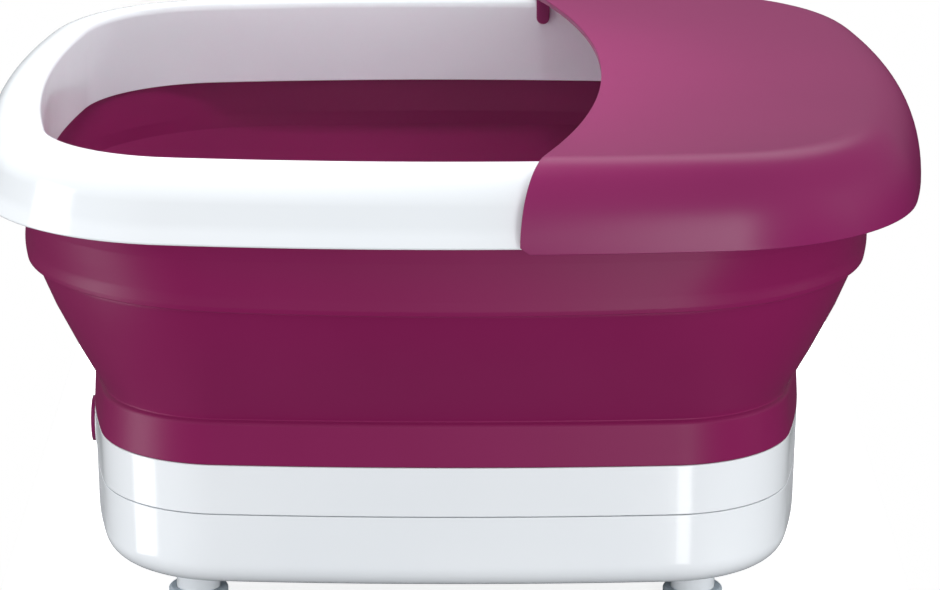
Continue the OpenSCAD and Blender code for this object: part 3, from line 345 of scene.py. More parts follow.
# Moulded ABS from a polished tool: nearly mirror smooth, with a faint orange peel.
gloss_white, tree, place, cloud = clouded("white_gloss_abs", "#e3e8ed", "#e9edf1", 0.09)
haze = add(tree, "ShaderNodeTexNoise", {"Scale": 1 / 0.012, "Detail": 4.0}, {"Vector": place})
polish = add(tree, "ShaderNodeMapRange", {"To Min": 0.10, "To Max": 0.17}, {"Value": haze.outputs["Fac"]})
peel = add(tree, "ShaderNodeTexNoise", {"Scale": 1 / 0.0022, "Detail": 1.0}, {"Vector": place})
ripple = add(tree, "ShaderNodeBump", {"Strength": 0.25, "Distance": 0.00001}, {"Height": peel.outputs["Fac"]})
shader = tree.nodes["Principled BSDF"]
shader.inputs["IOR"].default_value = 1.5
tree.links.new(polish.outputs["Result"], shader.inputs["Roughness"])
tree.links.new(ripple.outputs["Normal"], shader.inputs["Normal"])
bottom_housing.data.materials.append(gloss_white)
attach(bottom_housing, "base")
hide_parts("bottom_housing")

# ---- Tub -------------------------------------------------------------------------------------
# The white moulding that holds the water: an outer skirt, a raised wall that the silicone grips,
# and a floor with a round-ended divider between the feet. Same glossy ABS as the housing.
foot_x, top_x, wall_top, floor_z, floor_under = -0.0036, -0.0071, 0.095, 0.073, 0.070
inner_x, fillet, skirt_low = -0.0064, 0.006, 0.0552
tongue_x, tongue_t, tongue_end = skirt(shelf_z) - 0.003, 0.0012, 0.0518
profile = [(-floor_in, floor_under, 0), (foot_x, floor_under, 0.0005), (foot_x, edge_z - wall_t, 0),
           (-0.0031, edge_z - wall_t, 0), (tongue_x - tongue_t, skirt_low + 0.003, 0),
           (tongue_x - tongue_t, tongue_end, 0), (tongue_x, tongue_end, 0), (tongue_x, skirt_low, 0),
           (skirt(skirt_low), skirt_low, 0.0004), (0, edge_z, 0.0006), (foot_x, edge_z, 0),
           (top_x, wall_top, 0.0005), (top_x - wall_t, wall_top, 0.0005)]
profile += arc(inner_x - fillet, floor_z + fillet, fillet, 0, -90, 8) + [(-floor_in, floor_z, 0)]
shell = drilled(swept("tub_shell", base_shape, profile, closed=False), [button_cut])


def stitched(work, rows):
    """Adds the faces between closed rows of points, bottom row first."""
    for low, high in zip(rows, rows[1:]):
        for k in range(len(low)):
            n = (k + 1) % len(low)
            work.faces.new((low[k], low[n], high[n], high[k]))


def long_round(work, centre_x, length, width, low, high, ease, steps=64):
    """Adds a flat round-ended bar with an eased upper edge to a mesh in the making."""
    radius, rows = width / 2, []
    path = [(0.0, low), (0.0, high - ease)] + [
        (ease - ease * math.cos(t), high - ease + ease * math.sin(t)) for t in (0.4, 0.8, 1.2, math.pi / 2)]
    for inset, z in path:
        row = []
        for k in range(steps):
            t = 2 * math.pi * (k + 0.5) / steps
            side = length / 2 - radius if math.cos(t) > 0 else radius - length / 2
            row.append(work.verts.new((
                centre_x + side + (radius - inset) * math.cos(t), (radius - inset) * math.sin(t), z)))
        rows.append(row)
    stitched(work, rows)
    work.faces.new(rows[-1])
    work.faces.new(list(reversed(rows[0])))


divider_l, divider_w, divider_top = 0.150, 0.012, 0.080
work = bmesh.new()
work.from_mesh(shell)
long_round(work, middle, divider_l, divider_w, floor_z - 0.0005, divider_top, 0.0018, steps=48)
work.to_mesh(shell)
work.free()
tub = shown_smooth("tub", shell)
tub.data.materials.append(gloss_white)
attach(tub, "base")
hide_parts("tub_base")

# ---- Base seal -------------------------------------------------------------------------------
# A soft rubber strip that sits on the housing's shelf and is squeezed when the base is closed.
seal_x, seal_w = skirt(shelf_z) - wall_t - 0.0002, 0.0024
profile = [(seal_x - seal_w, shelf_z, 0.0003), (seal_x, shelf_z, 0.0003), (seal_x, tongue_end, 0.0006),
           (seal_x - seal_w, tongue_end, 0.0006)]
seal = shown_smooth("parting_seal", drilled(swept("seal_shell", base_shape, profile), [button_cut]))


def grained(name, dark, light, rough, grain_mm, depth_mm=0.04, strength=0.3, detail=3.0):
    """A plain plastic or rubber with a moulded grain."""
    made, tree, place, grain = clouded(name, dark, light, grain_mm / 1000, detail)
    tooth = add(tree, "ShaderNodeBump", {"Strength": strength, "Distance": depth_mm / 1000}, {
        "Height": grain})
    shader = tree.nodes["Principled BSDF"]
    shader.inputs["Roughness"].default_value = rough
    tree.links.new(tooth.outputs["Normal"], shader.inputs["Normal"])
    return made


# Extruded EPDM: matt charcoal with a fine dusty grain.
black_rubber = grained("black_epdm_rubber", "#1d1e20", "#2a2b2d", 0.72, 0.8, depth_mm=0.05, strength=0.5)
seal.data.materials.append(black_rubber)
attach(seal, "base")
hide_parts("base_seal")

# ---- Massage plates --------------------------------------------------------------------------
# Two clip-in plates on the floor, moulded in satin pink plastic. Each has two rows of blunt nubs
# for the soles, and a hollow rail down the middle whose small holes let the air bubbles out.
rail_l, rail_w, rail_h, plate_t = 0.232, 0.024, 0.0045, 0.002
nub_r, nub_h, nub_pitch, nub_row, nubs_in_row = 0.005, 0.0026, 0.022, 0.019, 9
plate_edge, hole_r, holes_in_rail = 0.003, 0.0008, 14


def nub_tree():
    """Geometry Nodes that stand a rounded nub on each of two rows of points."""
    tree = bpy.data.node_groups.new("massage_nubs", "GeometryNodeTree")
    face = tree.interface
    face.new_socket("Plate", in_out="INPUT", socket_type="NodeSocketGeometry")
    for name, value in (("Nub radius", nub_r), ("Nub height", nub_h), ("Pitch", nub_pitch), ("Row", nub_row)):
        face.new_socket(name, in_out="INPUT", socket_type="NodeSocketFloat").default_value = value
    face.new_socket("Nubs", in_out="INPUT", socket_type="NodeSocketInt").default_value = nubs_in_row
    face.new_socket("Finish", in_out="INPUT", socket_type="NodeSocketMaterial")
    face.new_socket("Plate", in_out="OUTPUT", socket_type="NodeSocketGeometry")
    given = add(tree, "NodeGroupInput").outputs
    long_way = add(tree, "ShaderNodeMath", {"operation": "MULTIPLY"}, {0: given["Pitch"]})
    less = add(tree, "ShaderNodeMath", {"operation": "SUBTRACT"}, {0: given["Nubs"]})
    less.inputs[1].default_value = 1
    tree.links.new(less.outputs[0], long_way.inputs[1])
    across = add(tree, "ShaderNodeMath", {"operation": "MULTIPLY"}, {0: given["Row"]})
    across.inputs[1].default_value = 2
    grid = add(tree, "GeometryNodeMeshGrid", {"Vertices Y": 2}, {
        "Size X": long_way.outputs[0], "Size Y": across.outputs[0], "Vertices X": given["Nubs"]})
    ball = add(tree, "GeometryNodeMeshUVSphere", {"Segments": 24, "Rings": 16}, {
        "Radius": given["Nub radius"]})
    flatter = add(tree, "ShaderNodeMath", {"operation": "DIVIDE"}, {
        0: given["Nub height"], 1: given["Nub radius"]})
    size = add(tree, "ShaderNodeCombineXYZ", {"X": 1.0, "Y": 1.0}, {"Z": flatter.outputs[0]})
    smooth = add(tree, "GeometryNodeSetShadeSmooth", {}, {"Geometry": ball.outputs["Mesh"]})
    lifted = add(tree, "GeometryNodeTransform", {"Translation": (0, 0, plate_t)}, {
        "Geometry": grid.outputs["Mesh"]})
    stood = add(tree, "GeometryNodeInstanceOnPoints", {}, {
        "Points": lifted.outputs["Geometry"], "Instance": smooth.outputs["Geometry"],
        "Scale": size.outputs["Vector"]})
    real = add(tree, "GeometryNodeRealizeInstances", {}, {"Geometry": stood.outputs["Instances"]})
    joined = add(tree, "GeometryNodeJoinGeometry", {}, {"Geometry": given["Plate"]})
    tree.links.new(real.outputs["Geometry"], joined.inputs["Geometry"])
    finished = add(tree, "GeometryNodeSetMaterial", {}, {
        "Geometry": joined.outputs["Geometry"], "Material": given["Finish"]})
    add(tree, "NodeGroupOutput", {}, {"Plate": finished.outputs["Geometry"]})
    return tree


def plain(obj, inputs):
    """The object's nodes evaluated with these inputs, as a plain mesh."""
    maker = obj.modifiers[0]
    names = {s.name: s.identifier for s in maker.node_group.interface.items_tree if s.in_out == "INPUT"}
    for name, value in inputs.items():
        maker[names[name]] = value
    bpy.context.view_layer.update()
    made = bpy.data.meshes.new_from_object(obj.evaluated_get(bpy.context.evaluated_depsgraph_get()))
    obj.modifiers.clear()
    return made


# Polypropylene from a spark-eroded tool: an even satin with a fine leathery tooth.
pink_plate = grained("pink_satin_polypropylene", "#c984a8", "#d292b3", 0.42, 0.9, strength=0.4, detail=4.0)
nubs = nub_tree()
for name in ("massage_plate_front", "massage_plate_back"):
    low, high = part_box(name)
    centre = (low + high) / 2
    work = bmesh.new()
    long_round(work, 0, rail_l + 2 * plate_edge, 2 * (nub_row + nub_r + 0.002), 0, plate_t, 0.0006)
    long_round(work, 0, rail_l, rail_w, plate_t - 0.0004, rail_h, 0.0012)
    mesh = bpy.data.meshes.new(name + "_plate")
    work.to_mesh(mesh)
    work.free()
    spots = [((i / (holes_in_rail - 1) - 0.5) * (rail_l - rail_w), (i % 2 - 0.5) * rail_w / 3, plate_t)
             for i in range(holes_in_rail)]
    mesh = drilled(mesh, [(spot, (0, 0, 1), hole_r, 0.01) for spot in spots])
    plate = bpy.data.objects.new(name + "_base", mesh)
    bpy.context.scene.collection.objects.link(plate)
    plate.modifiers.new("nubs", "NODES").node_group = nubs
    mesh = plain(plate, {"Finish": pink_plate})
    bpy.data.objects.remove(plate)
    mesh.transform(Matrix.Translation((centre.x, centre.y, low.z)))
    shown = shown_smooth(name + "_shell", mesh)
    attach(shown, "base")
    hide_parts(name)

# ---- Folding wall ----------------------------------------------------------------------------
# One moulding of satin silicone: a cuff that grips the tub, a cone that folds inwards, a collar
# and a bead that the rim clamps.
fold_shape = (0.1925, 0.175, 0.104, 0.68, 0.5)
rim_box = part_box("rim_shell")
rim_shape = ((rim_box[1].x - rim_box[0].x) / 2, (rim_box[1].y - rim_box[0].y) / 2, 0.097, 1.01, 0.6)


def between(stage, offset, z):
    """A ring between the base's oval (stage 0), the fold's (1) and the rim's (2)."""
    low, high = ((base_shape, fold_shape), (fold_shape, rim_shape))[int(min(stage, 1.999))]
    share = stage - int(min(stage, 1.999))
    return [a.lerp(b, share) for a, b in zip(oval(low, offset, z), oval(high, offset, z))]


sections = [
    # each is stage, offset, height and easing: outside, from the cuff up to the bead
    (0, 0.0, 0.0782, 0.0005), (0, -0.0010, 0.0972, 0.003), (0, -0.0030, 0.0986, 0.0006),
    (0.34, -0.0012, 0.1185, 0), (0.67, -0.0006, 0.1375, 0), (0.95, -0.0014, 0.1540, 0),
    (0.985, -0.0024, 0.1566, 0.0006), (1, 0.0014, 0.1566, 0.0007), (1, 0.0018, 0.1590, 0.002),
    (1, 0.0012, 0.1630, 0.01), (1.25, -0.0042, 0.1715, 0.01), (1.5, -0.0098, 0.1795, 0.01),
    (2, -0.0200, 0.1935, 0), (2, -0.0200, 0.1997, 0.0004), (2, -0.0186, 0.1997, 0.0005),
    (2, -0.0186, 0.2029, 0.0008),
    # inside, from the bead down to the lip
    (2, -0.0245, 0.2029, 0.0008), (2, -0.0245, 0.1997, 0.0005), (2, -0.0230, 0.1997, 0.0004),
    (2, -0.0230, 0.1935, 0), (1.5, -0.0128, 0.1795, 0.004), (1.25, -0.0074, 0.1715, 0.004),
    (1, -0.0020, 0.1635, 0.003), (1, -0.0030, 0.1571, 0.0015), (0.67, -0.0044, 0.1375, 0),
    (0.34, -0.0058, 0.1185, 0), (0, -0.0084, 0.1004, 0.0015), (0, -0.0124, 0.0996, 0.0006),
    (0, -0.0126, 0.0984, 0), (0, -0.0126, 0.0880, 0.0004), (0, -0.0101, 0.0880, 0.0004),
    (0, -0.0101, 0.0952, 0), (0, -0.0069, 0.0952, 0), (0, -0.0034, 0.0782, 0)]
rings = [between(s, x, z) for s, x, z, r in sections]
shell = lofted("wall_shell", rings, [r for s, x, z, r in sections], closed=True)
wall = shown_smooth("folding_wall", shell, 40)


def satin(name, dark, light, cloud_mm, detail, grain_mm, depth_mm, strength, smoothest, roughest):
    """A satin moulding: broad faint clouding in colour and polish, under a very fine tooth."""
    made, tree, place, cloud = clouded(name, dark, light, cloud_mm / 1000, detail)
    grain = add(tree, "ShaderNodeTexNoise", {"Scale": 1000 / grain_mm, "Detail": 3.0}, {"Vector": place})
    tooth = add(tree, "ShaderNodeBump", {"Strength": strength, "Distance": depth_mm / 1000}, {
        "Height": grain.outputs["Fac"]})
    polish = add(tree, "ShaderNodeMapRange", {"To Min": smoothest, "To Max": roughest}, {"Value": cloud})
    shader = tree.nodes["Principled BSDF"]
    tree.links.new(polish.outputs["Result"], shader.inputs["Roughness"])
    tree.links.new(tooth.outputs["Normal"], shader.inputs["Normal"])
    return made, shader


# Liquid silicone rubber with pigment: soft satin, a very fine matt tooth and broad faint clouding.
berry_silicone, shader = satin(
    "berry_satin_silicone", "#78174c", "#7e1951", cloud_mm=60, detail=4.0, grain_mm=0.7,
    depth_mm=0.03, strength=0.35, smoothest=0.38, roughest=0.48)
shader.inputs["IOR"].default_value = 1.41
shader.inputs["Specular IOR Level"].default_value = 0.35
shader.inputs["Sheen Weight"].default_value = 0.02
shader.inputs["Sheen Roughness"].default_value = 0.5
wall.data.materials.append(berry_silicone)
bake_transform(wall)
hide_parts("silicone_wall")

# ---- Cuff ring -------------------------------------------------------------------------------
# A springy ring of berry ABS pressed into the tub, so that the silicone lip can't creep out.
ring_low, ring_step, ring_top = 0.0858, 0.0878, 0.0990
profile = [(-0.0080, ring_low, 0.0003), (-0.0084, ring_step, 0.0003), (-0.0128, ring_step, 0),
           (-0.0128, ring_top - 0.001, 0.0006), (-0.0136, ring_top, 0.0006),
           (-0.0150, ring_top - 0.001, 0.0006), (-0.0150, ring_low, 0.0005)]
cuff = shown_smooth("lip_ring", swept("cuff_shell", base_shape, profile))

# Pigmented ABS from a lightly blasted tool: satin gloss with a soft grain under the highlight.
berry_abs, shader = satin(
    "berry_satin_abs", "#7e1f56", "#84225a", cloud_mm=80, detail=3.0, grain_mm=0.6,
    depth_mm=0.02, strength=0.3, smoothest=0.30, roughest=0.38)
shader.inputs["Specular IOR Level"].default_value = 0.4
cuff.data.materials.append(berry_abs)
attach(cuff, "base")
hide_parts("cuff_ring")

# ---- Rim -------------------------------------------------------------------------------------
# The wide white rim that the hands lift by: one glossy ABS moulding, hollow below, with a fully
# rounded top and a foot that flares out a little.
rim_top, round_x, round_z, round_r, lip_r = rim_box[1].z, -0.025, 0.203, 0.020, 0.0045
rim_t, foot_low, hem_low = 0.0026, rim_box[0].z + 0.010, rim_box[0].z


def flared(low_x, low_z, radius):
    """One side of the rim: a leaning foot that runs into the rounded shoulder."""
    start = math.radians(15)
    turn_in = Vector((round_x + radius * math.cos(start), round_z + radius * math.sin(start)))
    lean = Vector((round_x + radius - low_x, round_z - low_z)).normalized()
    climb = Vector((-math.sin(start), math.cos(start)))
    gap = turn_in - Vector((low_x, low_z))
    t = (gap.x * climb.y - gap.y * climb.x) / (lean.x * climb.y - lean.y * climb.x)
    meet = Vector((low_x, low_z)) + lean * t
    return [(low_x, low_z, 0.0008), (meet.x, meet.y, 0.03)] + arc(round_x, round_z, radius, 15, 90, 16)


profile = flared(0, foot_low, round_r) + arc(round_x, rim_top - lip_r, lip_r, 101, 180, 7)
profile += [(-0.0280, hem_low, 0.0008), (-0.0280 + rim_t, hem_low, 0.0008)]
profile += arc(round_x, rim_top - lip_r, lip_r - rim_t, 180, 110, 4)
profile += [(x, z, min(r, 0.01)) for x, z, r in reversed(flared(-rim_t, foot_low, round_r - rim_t))]
rim = shown_smooth("rim", swept("rim_shell_mesh", rim_shape, profile))
rim.data.materials.append(gloss_white)
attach(rim, "rim_frame")
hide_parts("rim_shell")

# ---- Clamp ring ------------------------------------------------------------------------------
# A flat ring of plain white ABS under the rim that traps the silicone wall's bead.
clamp_low, clamp_top, clamp_in, clamp_ease = 0.1945, 0.1995, -0.01965, 0.0003
profile = [(clamp_in, clamp_low, clamp_ease), (-0.0042, clamp_low, clamp_ease),
           (-0.0062, clamp_top, clamp_ease), (clamp_in, clamp_top, clamp_ease)]
clamp = shown_smooth("clamp_ring", swept("clamp_shell", rim_shape, profile))
clamp.data.materials.append(gloss_white)
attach(clamp, "rim_frame")
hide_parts("rim_clamp_ring")

# ---- Splash guard ----------------------------------------------------------------------------
# The berry ABS cover that lifts off one end. It follows the rim with a thin wall, its free edge
# is hollowed in a wide curve, and four tongues inside the rim locate it.
guard_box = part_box("splash_guard")
cut_r, cut_x, skin_t = 0.5, 0.0715, 0.0025
cut_mid = middle + cut_x - cut_r
corner_r, bow, bow_steps, top_steps, top_in = 0.004, 0.92, 22, 8, 0.0415


def clipped(offset, z, stations=141):
    """The part of a rim ring beyond the hollow cut, as evenly spaced stations from front to back."""
    below = max(0.0, guard_box[0].z + corner_r - z)
    reach = cut_r + corner_r - math.sqrt(max(corner_r ** 2 - below ** 2, 0.0))
    ring = oval(rim_shape, offset, z)
    half = ring[3 * quarter_points:] + ring[:quarter_points + 1]
    kept = []
    for a, b in zip(half, half[1:]):
        da = math.hypot(a.x - cut_mid, a.y) - reach
        db = math.hypot(b.x - cut_mid, b.y) - reach
        if da > 0:
            kept.append(a)
        if da * db < 0:
            low_t, high_t = 0.0, 1.0
            for _ in range(30):
                t = (low_t + high_t) / 2
                p = a.lerp(b, t)
                if (math.hypot(p.x - cut_mid, p.y) - reach) * da > 0:
                    low_t = t
                else:
                    high_t = t
            kept.append(a.lerp(b, low_t))
    spans = [0.0]
    for a, b in zip(kept, kept[1:]):
        spans.append(spans[-1] + (b - a).length)
    out, k = [], 0
    for i in range(stations):
        want = spans[-1] * i / (stations - 1)
        while k < len(kept) - 2 and spans[k + 1] < want:
            k += 1
        out.append(kept[k].lerp(kept[k + 1], (want - spans[k]) / max(spans[k + 1] - spans[k], 1e-9)))
    return out


def guard_side(low_x, inset, top_z):
    """Rows of stations up one bowed face of the guard and across its top to the hollow edge."""
    wide, tall = low_x - round_x - inset, top_z - guard_box[0].z
    turns = [math.pi / 2 * k / bow_steps for k in range(bow_steps + 1)]
    made = [clipped(round_x + wide * max(math.cos(t), 0.0) ** bow,
                    guard_box[0].z + tall * math.sin(t) ** bow) for t in turns]
    inner_ring = clipped(-top_in, top_z)
    made.append(inner_ring)
    a0 = math.atan2(inner_ring[0].y, inner_ring[0].x - cut_mid)
    a1 = math.atan2(inner_ring[-1].y, inner_ring[-1].x - cut_mid)
    edge = []
    for i in range(len(inner_ring)):
        a = a0 + (a1 - a0) * i / (len(inner_ring) - 1)
        edge.append(Vector((cut_mid + cut_r * math.cos(a), cut_r * math.sin(a), top_z)))
    for k in range(1, top_steps + 1):
        made.append([p.lerp(q, k / top_steps) for p, q in zip(inner_ring, edge)])
    return made


guard_foot = guard_box[1].y - rim_shape[1]
outer = guard_side(guard_foot, 0, guard_box[1].z)
inner = guard_side(guard_foot, skin_t, guard_box[1].z - skin_t)
work = bmesh.new()
sheets = [[[work.verts.new(p) for p in row] for row in face] for face in (outer, inner)]
across, up = len(outer[0]), len(outer)
for face, order in zip(sheets, (1, -1)):
    for i in range(up - 1):
        for j in range(across - 1):
            quad = (face[i][j], face[i][j + 1], face[i + 1][j + 1], face[i + 1][j])
            work.faces.new(quad[::order])
for row, order in ((0, -1), (up - 1, 1)):
    for j in range(across - 1):
        quad = (sheets[0][row][j], sheets[0][row][j + 1], sheets[1][row][j + 1], sheets[1][row][j])
        work.faces.new(quad[::order])
for j, order in ((0, 1), (across - 1, -1)):
    for i in range(up - top_steps - 1):
        quad = (sheets[0][i][j], sheets[0][i + 1][j], sheets[1][i + 1][j], sheets[1][i][j])
        work.faces.new(quad[::order])
tab_r, tab_low, tab_top, tab_bow = 0.00325, 0.21425, 0.2240, rim_shape[3] - 0.0295 - 0.0005 - skin_t
outline = [(tab_r * math.cos(t), tab_low + tab_r * math.sin(t))
           for t in [math.pi + math.pi * k / 16 for k in range(17)]] + [(tab_r, tab_top), (-tab_r, tab_top)]
for x in (0.048, 0.104):
    swing = math.asin(x / tab_bow)
    for side in (-1, 1):
        ends = []
        for radius in (tab_bow, tab_bow + skin_t):
            out_y = rim_shape[1] - rim_shape[3] + radius * math.cos(swing)
            ends.append([work.verts.new((
                middle + px * math.cos(swing) + radius * math.sin(swing),
                side * (out_y - px * math.sin(swing)), pz)) for px, pz in outline])
        stitched(work, ends)
        work.faces.new(ends[0])
        work.faces.new(list(reversed(ends[1])))
mesh = bpy.data.meshes.new("guard_shell")
bmesh.ops.remove_doubles(work, verts=work.verts, dist=2e-6)
bmesh.ops.dissolve_degenerate(work, edges=work.edges, dist=1e-6)
work.to_mesh(mesh)
work.free()
guard = shown_smooth("splash_cover", mesh)
softened = guard.modifiers.new("soft_edges", "BEVEL")
softened.width, softened.segments, softened.limit_method = 0.0006, 2, "ANGLE"
softened.angle_limit = math.radians(50)
guard.modifiers.move(1, 0)
guard.data.materials.append(berry_abs)
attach(guard, "guard")
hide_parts("splash_guard")

# ---- Feet ------------------------------------------------------------------------------------
# Four short white ABS stems screwed to the housing, each pushed into a grey-blue rubber pad.
# Thermoplastic rubber: matt, slightly translucent, with a fine moulded grain.
soft_pad = grained("grey_blue_tpe_rubber", "#b4c0ca", "#becad3", 0.5, 1.2, strength=0.4)


def turned(profile, place_at, steps=64):
    """A mesh turned from a profile of radius, height and easing, closed on its own axis, then placed."""
    path = eased([Vector((r, 0, z)) for r, z, e in profile], [e for r, z, e in profile], closed=False)
    work = bmesh.new()
    turns = [2 * math.pi * k / steps for k in range(steps)]
    rows = [[work.verts.new((p.x * math.cos(t), p.x * math.sin(t), p.z)) for t in turns] for p in path]
    stitched(work, rows)
    if profile[0][0] > 0 and (Vector(profile[0][:2]) - Vector(profile[-1][:2])).length > 1e-6:
        work.faces.new(rows[-1])
        work.faces.new(list(reversed(rows[0])))
    bmesh.ops.remove_doubles(work, verts=work.verts, dist=1e-6)
    bmesh.ops.dissolve_degenerate(work, edges=work.edges, dist=1e-7)
    mesh = bpy.data.meshes.new("turned")
    work.to_mesh(mesh)
    work.free()
    mesh.transform(place_at)
    return mesh


pad_r, pad_h, pad_floor, tread, stem_r, collar_r = 0.0135, 0.006, 0.0025, 0.0006, 0.010, 0.0115
pad_shape = [(0, 0, 0), (0.004, 0, 0), (0.0045, tread, 0), (0.0055, tread, 0), (0.006, 0, 0), (0.0085, 0, 0),
             (0.009, tread, 0), (0.010, tread, 0), (0.0105, 0, 0), (pad_r - 0.0008, 0, 0.0006),
             (pad_r, 0.001, 0.0006), (pad_r, pad_h - 0.001, 0.0008), (pad_r - 0.001, pad_h, 0.0008),
             (stem_r + 0.0001, pad_h, 0.0004), (stem_r + 0.0001, pad_floor, 0), (0, pad_floor, 0)]
stem_shape = [(0, pad_floor, 0), (stem_r, pad_floor, 0.0004), (stem_r, housing_low - 0.002, 0.0003),
              (collar_r, housing_low - 0.002, 0.0004), (collar_r, housing_low, 0), (0, housing_low, 0)]
for corner in ("fl", "fr", "bl", "br"):
    for kind, shape, finish, slot_name in (
            ("stem", stem_shape, gloss_white, "white_gloss"), ("pad", pad_shape, soft_pad, "grey_rubber")):
        low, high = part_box(f"foot_{kind}_{corner}")
        mesh = turned(shape, Matrix.Translation(((low.x + high.x) / 2, (low.y + high.y) / 2, 0)))
        foot = shown_smooth(f"{kind}_{corner}", mesh)
        foot.data.materials.append(finish)
        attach(foot, "base")
        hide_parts(f"foot_{kind}_{corner}")

# ---- Button ----------------------------------------------------------------------------------
# A domed berry cap on a stem, in a white bezel on the end of the base. A rubber washer keeps
# splashes out, and the stem works a switch on the board.
along_x = Matrix.Translation((button_x, 0, button_z)) @ Matrix.Rotation(math.radians(90), 4, "Y")
cap_out = button_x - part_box("button_cap")[0].x
bezel_out = button_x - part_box("button_bezel")[0].x
cap_r, dome_h, guide_r, seat_r, stalk_r, washer_in = 0.0108, 0.0009, 0.01115, 0.01455, 0.003, 0.00335
barrel_r, lip_z, seat_z, washer_z, soft = 0.01295, 0.0034, 0.008, 0.0092, 0.0003
dome = [(cap_r * math.sin(t), dome_h - cap_out - dome_h * math.cos(t), 0)
        for t in [math.pi / 2 * k / 10 for k in range(10)]]
cap_shape = dome + [(cap_r, dome_h + 0.0002 - cap_out, 0), (cap_r, 0.004, soft), (0.009, 0.004, soft),
                    (0.009, 2 * dome_h - cap_out, 0), (stalk_r, 2 * dome_h - cap_out, 0),
                    (stalk_r, 0.014, soft), (0, 0.014, 0)]
bezel_shape = [(guide_r, -bezel_out, 0.0004), (barrel_r, -bezel_out, 0.0006), (barrel_r, lip_z, 0),
               (seat_r, lip_z, soft), (seat_r, seat_z, soft), (guide_r, seat_z, soft),
               (guide_r, -bezel_out, 0)]
washer_shape = [(washer_in, seat_z, 0), (seat_r, seat_z, 0), (seat_r, washer_z, soft),
                (washer_in, washer_z, soft), (washer_in, seat_z, 0)]
for name, shape, finish, body, node_name, slot_name in (
        ("push_cap", cap_shape, berry_abs, "button", "button_cap", "berry_gloss"),
        ("push_bezel", bezel_shape, gloss_white, "base", "button_bezel", "white_gloss"),
        ("push_washer", washer_shape, black_rubber, "base", "button_seal", "dark_rubber")):
    made = shown_smooth(name, turned(shape, along_x))
    made.data.materials.append(finish)
    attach(made, body)
    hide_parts(node_name)

# ---- Screws ----------------------------------------------------------------------------------
# Zinc-plated pan-head screws with a cross recess: sixteen hold the clamp ring under the rim, and
# eight close the base from below, each down in its own well.
# Bright zinc: a cool grey metal, a little mottled, turned smooth by the plating.
zinc, tree, place, mottle = clouded("zinc_plated_steel", "#aeb2b6", "#c6cacd", 0.0015)
worn = add(tree, "ShaderNodeMapRange", {"To Min": 0.26, "To Max": 0.40}, {"Value": mottle})
shader = tree.nodes["Principled BSDF"]
shader.inputs["Metallic"].default_value = 1.0
tree.links.new(worn.outputs["Result"], shader.inputs["Roughness"])

head_r, head_h, shank_r, recess_w, recess_deep = 0.003, 0.002, 0.0015, 0.0007, 0.0012
tree = bpy.data.node_groups.new("pan_head_screws", "GeometryNodeTree")
face = tree.interface
face.new_socket("Seats", in_out="INPUT", socket_type="NodeSocketGeometry")
for label, value in (("Head radius", head_r), ("Head height", head_h), ("Shank radius", shank_r),
                     ("Shank length", 0.012), ("Recess width", recess_w)):
    face.new_socket(label, in_out="INPUT", socket_type="NodeSocketFloat").default_value = value
face.new_socket("Finish", in_out="INPUT", socket_type="NodeSocketMaterial")
face.new_socket("Screws", in_out="OUTPUT", socket_type="NodeSocketGeometry")
given = add(tree, "NodeGroupInput").outputs
head = add(tree, "GeometryNodeMeshCone", {"Vertices": 32, "Side Segments": 1}, {
    "Radius Bottom": given["Head radius"], "Depth": given["Head height"]})
narrower = add(tree, "ShaderNodeMath", {"operation": "MULTIPLY"}, {0: given["Head radius"]})
narrower.inputs[1].default_value = 0.96
tree.links.new(narrower.outputs[0], head.inputs["Radius Top"])
slot_l = add(tree, "ShaderNodeMath", {"operation": "MULTIPLY"}, {0: given["Head radius"]})
slot_l.inputs[1].default_value = 1.1
bars = []
for first, second in ((slot_l.outputs[0], given["Recess width"]), (given["Recess width"], slot_l.outputs[0])):
    size = add(tree, "ShaderNodeCombineXYZ", {}, {"X": first, "Y": second, "Z": given["Head height"]})
    bar = add(tree, "GeometryNodeMeshCube", {}, {"Size": size.outputs["Vector"]})
    bars.append(add(tree, "GeometryNodeTransform", {"Translation": (0, 0, recess_deep - head_h)}, {
        "Geometry": bar.outputs["Mesh"]}))
crossed = add(tree, "GeometryNodeMeshBoolean", {"operation": "DIFFERENCE", "solver": "EXACT"}, {
    "Mesh 1": head.outputs["Mesh"]})
for bar in bars:
    tree.links.new(bar.outputs["Geometry"], crossed.inputs["Mesh 2"])
head_down = add(tree, "GeometryNodeTransform", {"Translation": (0, 0, -head_h)}, {
    "Geometry": crossed.outputs["Mesh"]})
shank = add(tree, "GeometryNodeMeshCylinder", {"Vertices": 24}, {
    "Radius": given["Shank radius"], "Depth": given["Shank length"]})
half = add(tree, "ShaderNodeMath", {"operation": "MULTIPLY"}, {0: given["Shank length"]})
half.inputs[1].default_value = 0.5
up_by = add(tree, "ShaderNodeCombineXYZ", {}, {"Z": half.outputs[0]})
shank_up = add(tree, "GeometryNodeTransform", {}, {
    "Geometry": shank.outputs["Mesh"], "Translation": up_by.outputs["Vector"]})
one = add(tree, "GeometryNodeJoinGeometry", {}, {"Geometry": shank_up.outputs["Geometry"]})
tree.links.new(head_down.outputs["Geometry"], one.inputs["Geometry"])
stood = add(tree, "GeometryNodeInstanceOnPoints", {}, {
    "Points": given["Seats"], "Instance": one.outputs["Geometry"]})
real = add(tree, "GeometryNodeRealizeInstances", {}, {"Geometry": stood.outputs["Instances"]})
done = add(tree, "GeometryNodeSetMaterial", {}, {
    "Geometry": real.outputs["Geometry"], "Material": given["Finish"]})
add(tree, "NodeGroupOutput", {}, {"Screws": done.outputs["Geometry"]})
screw_tree = tree


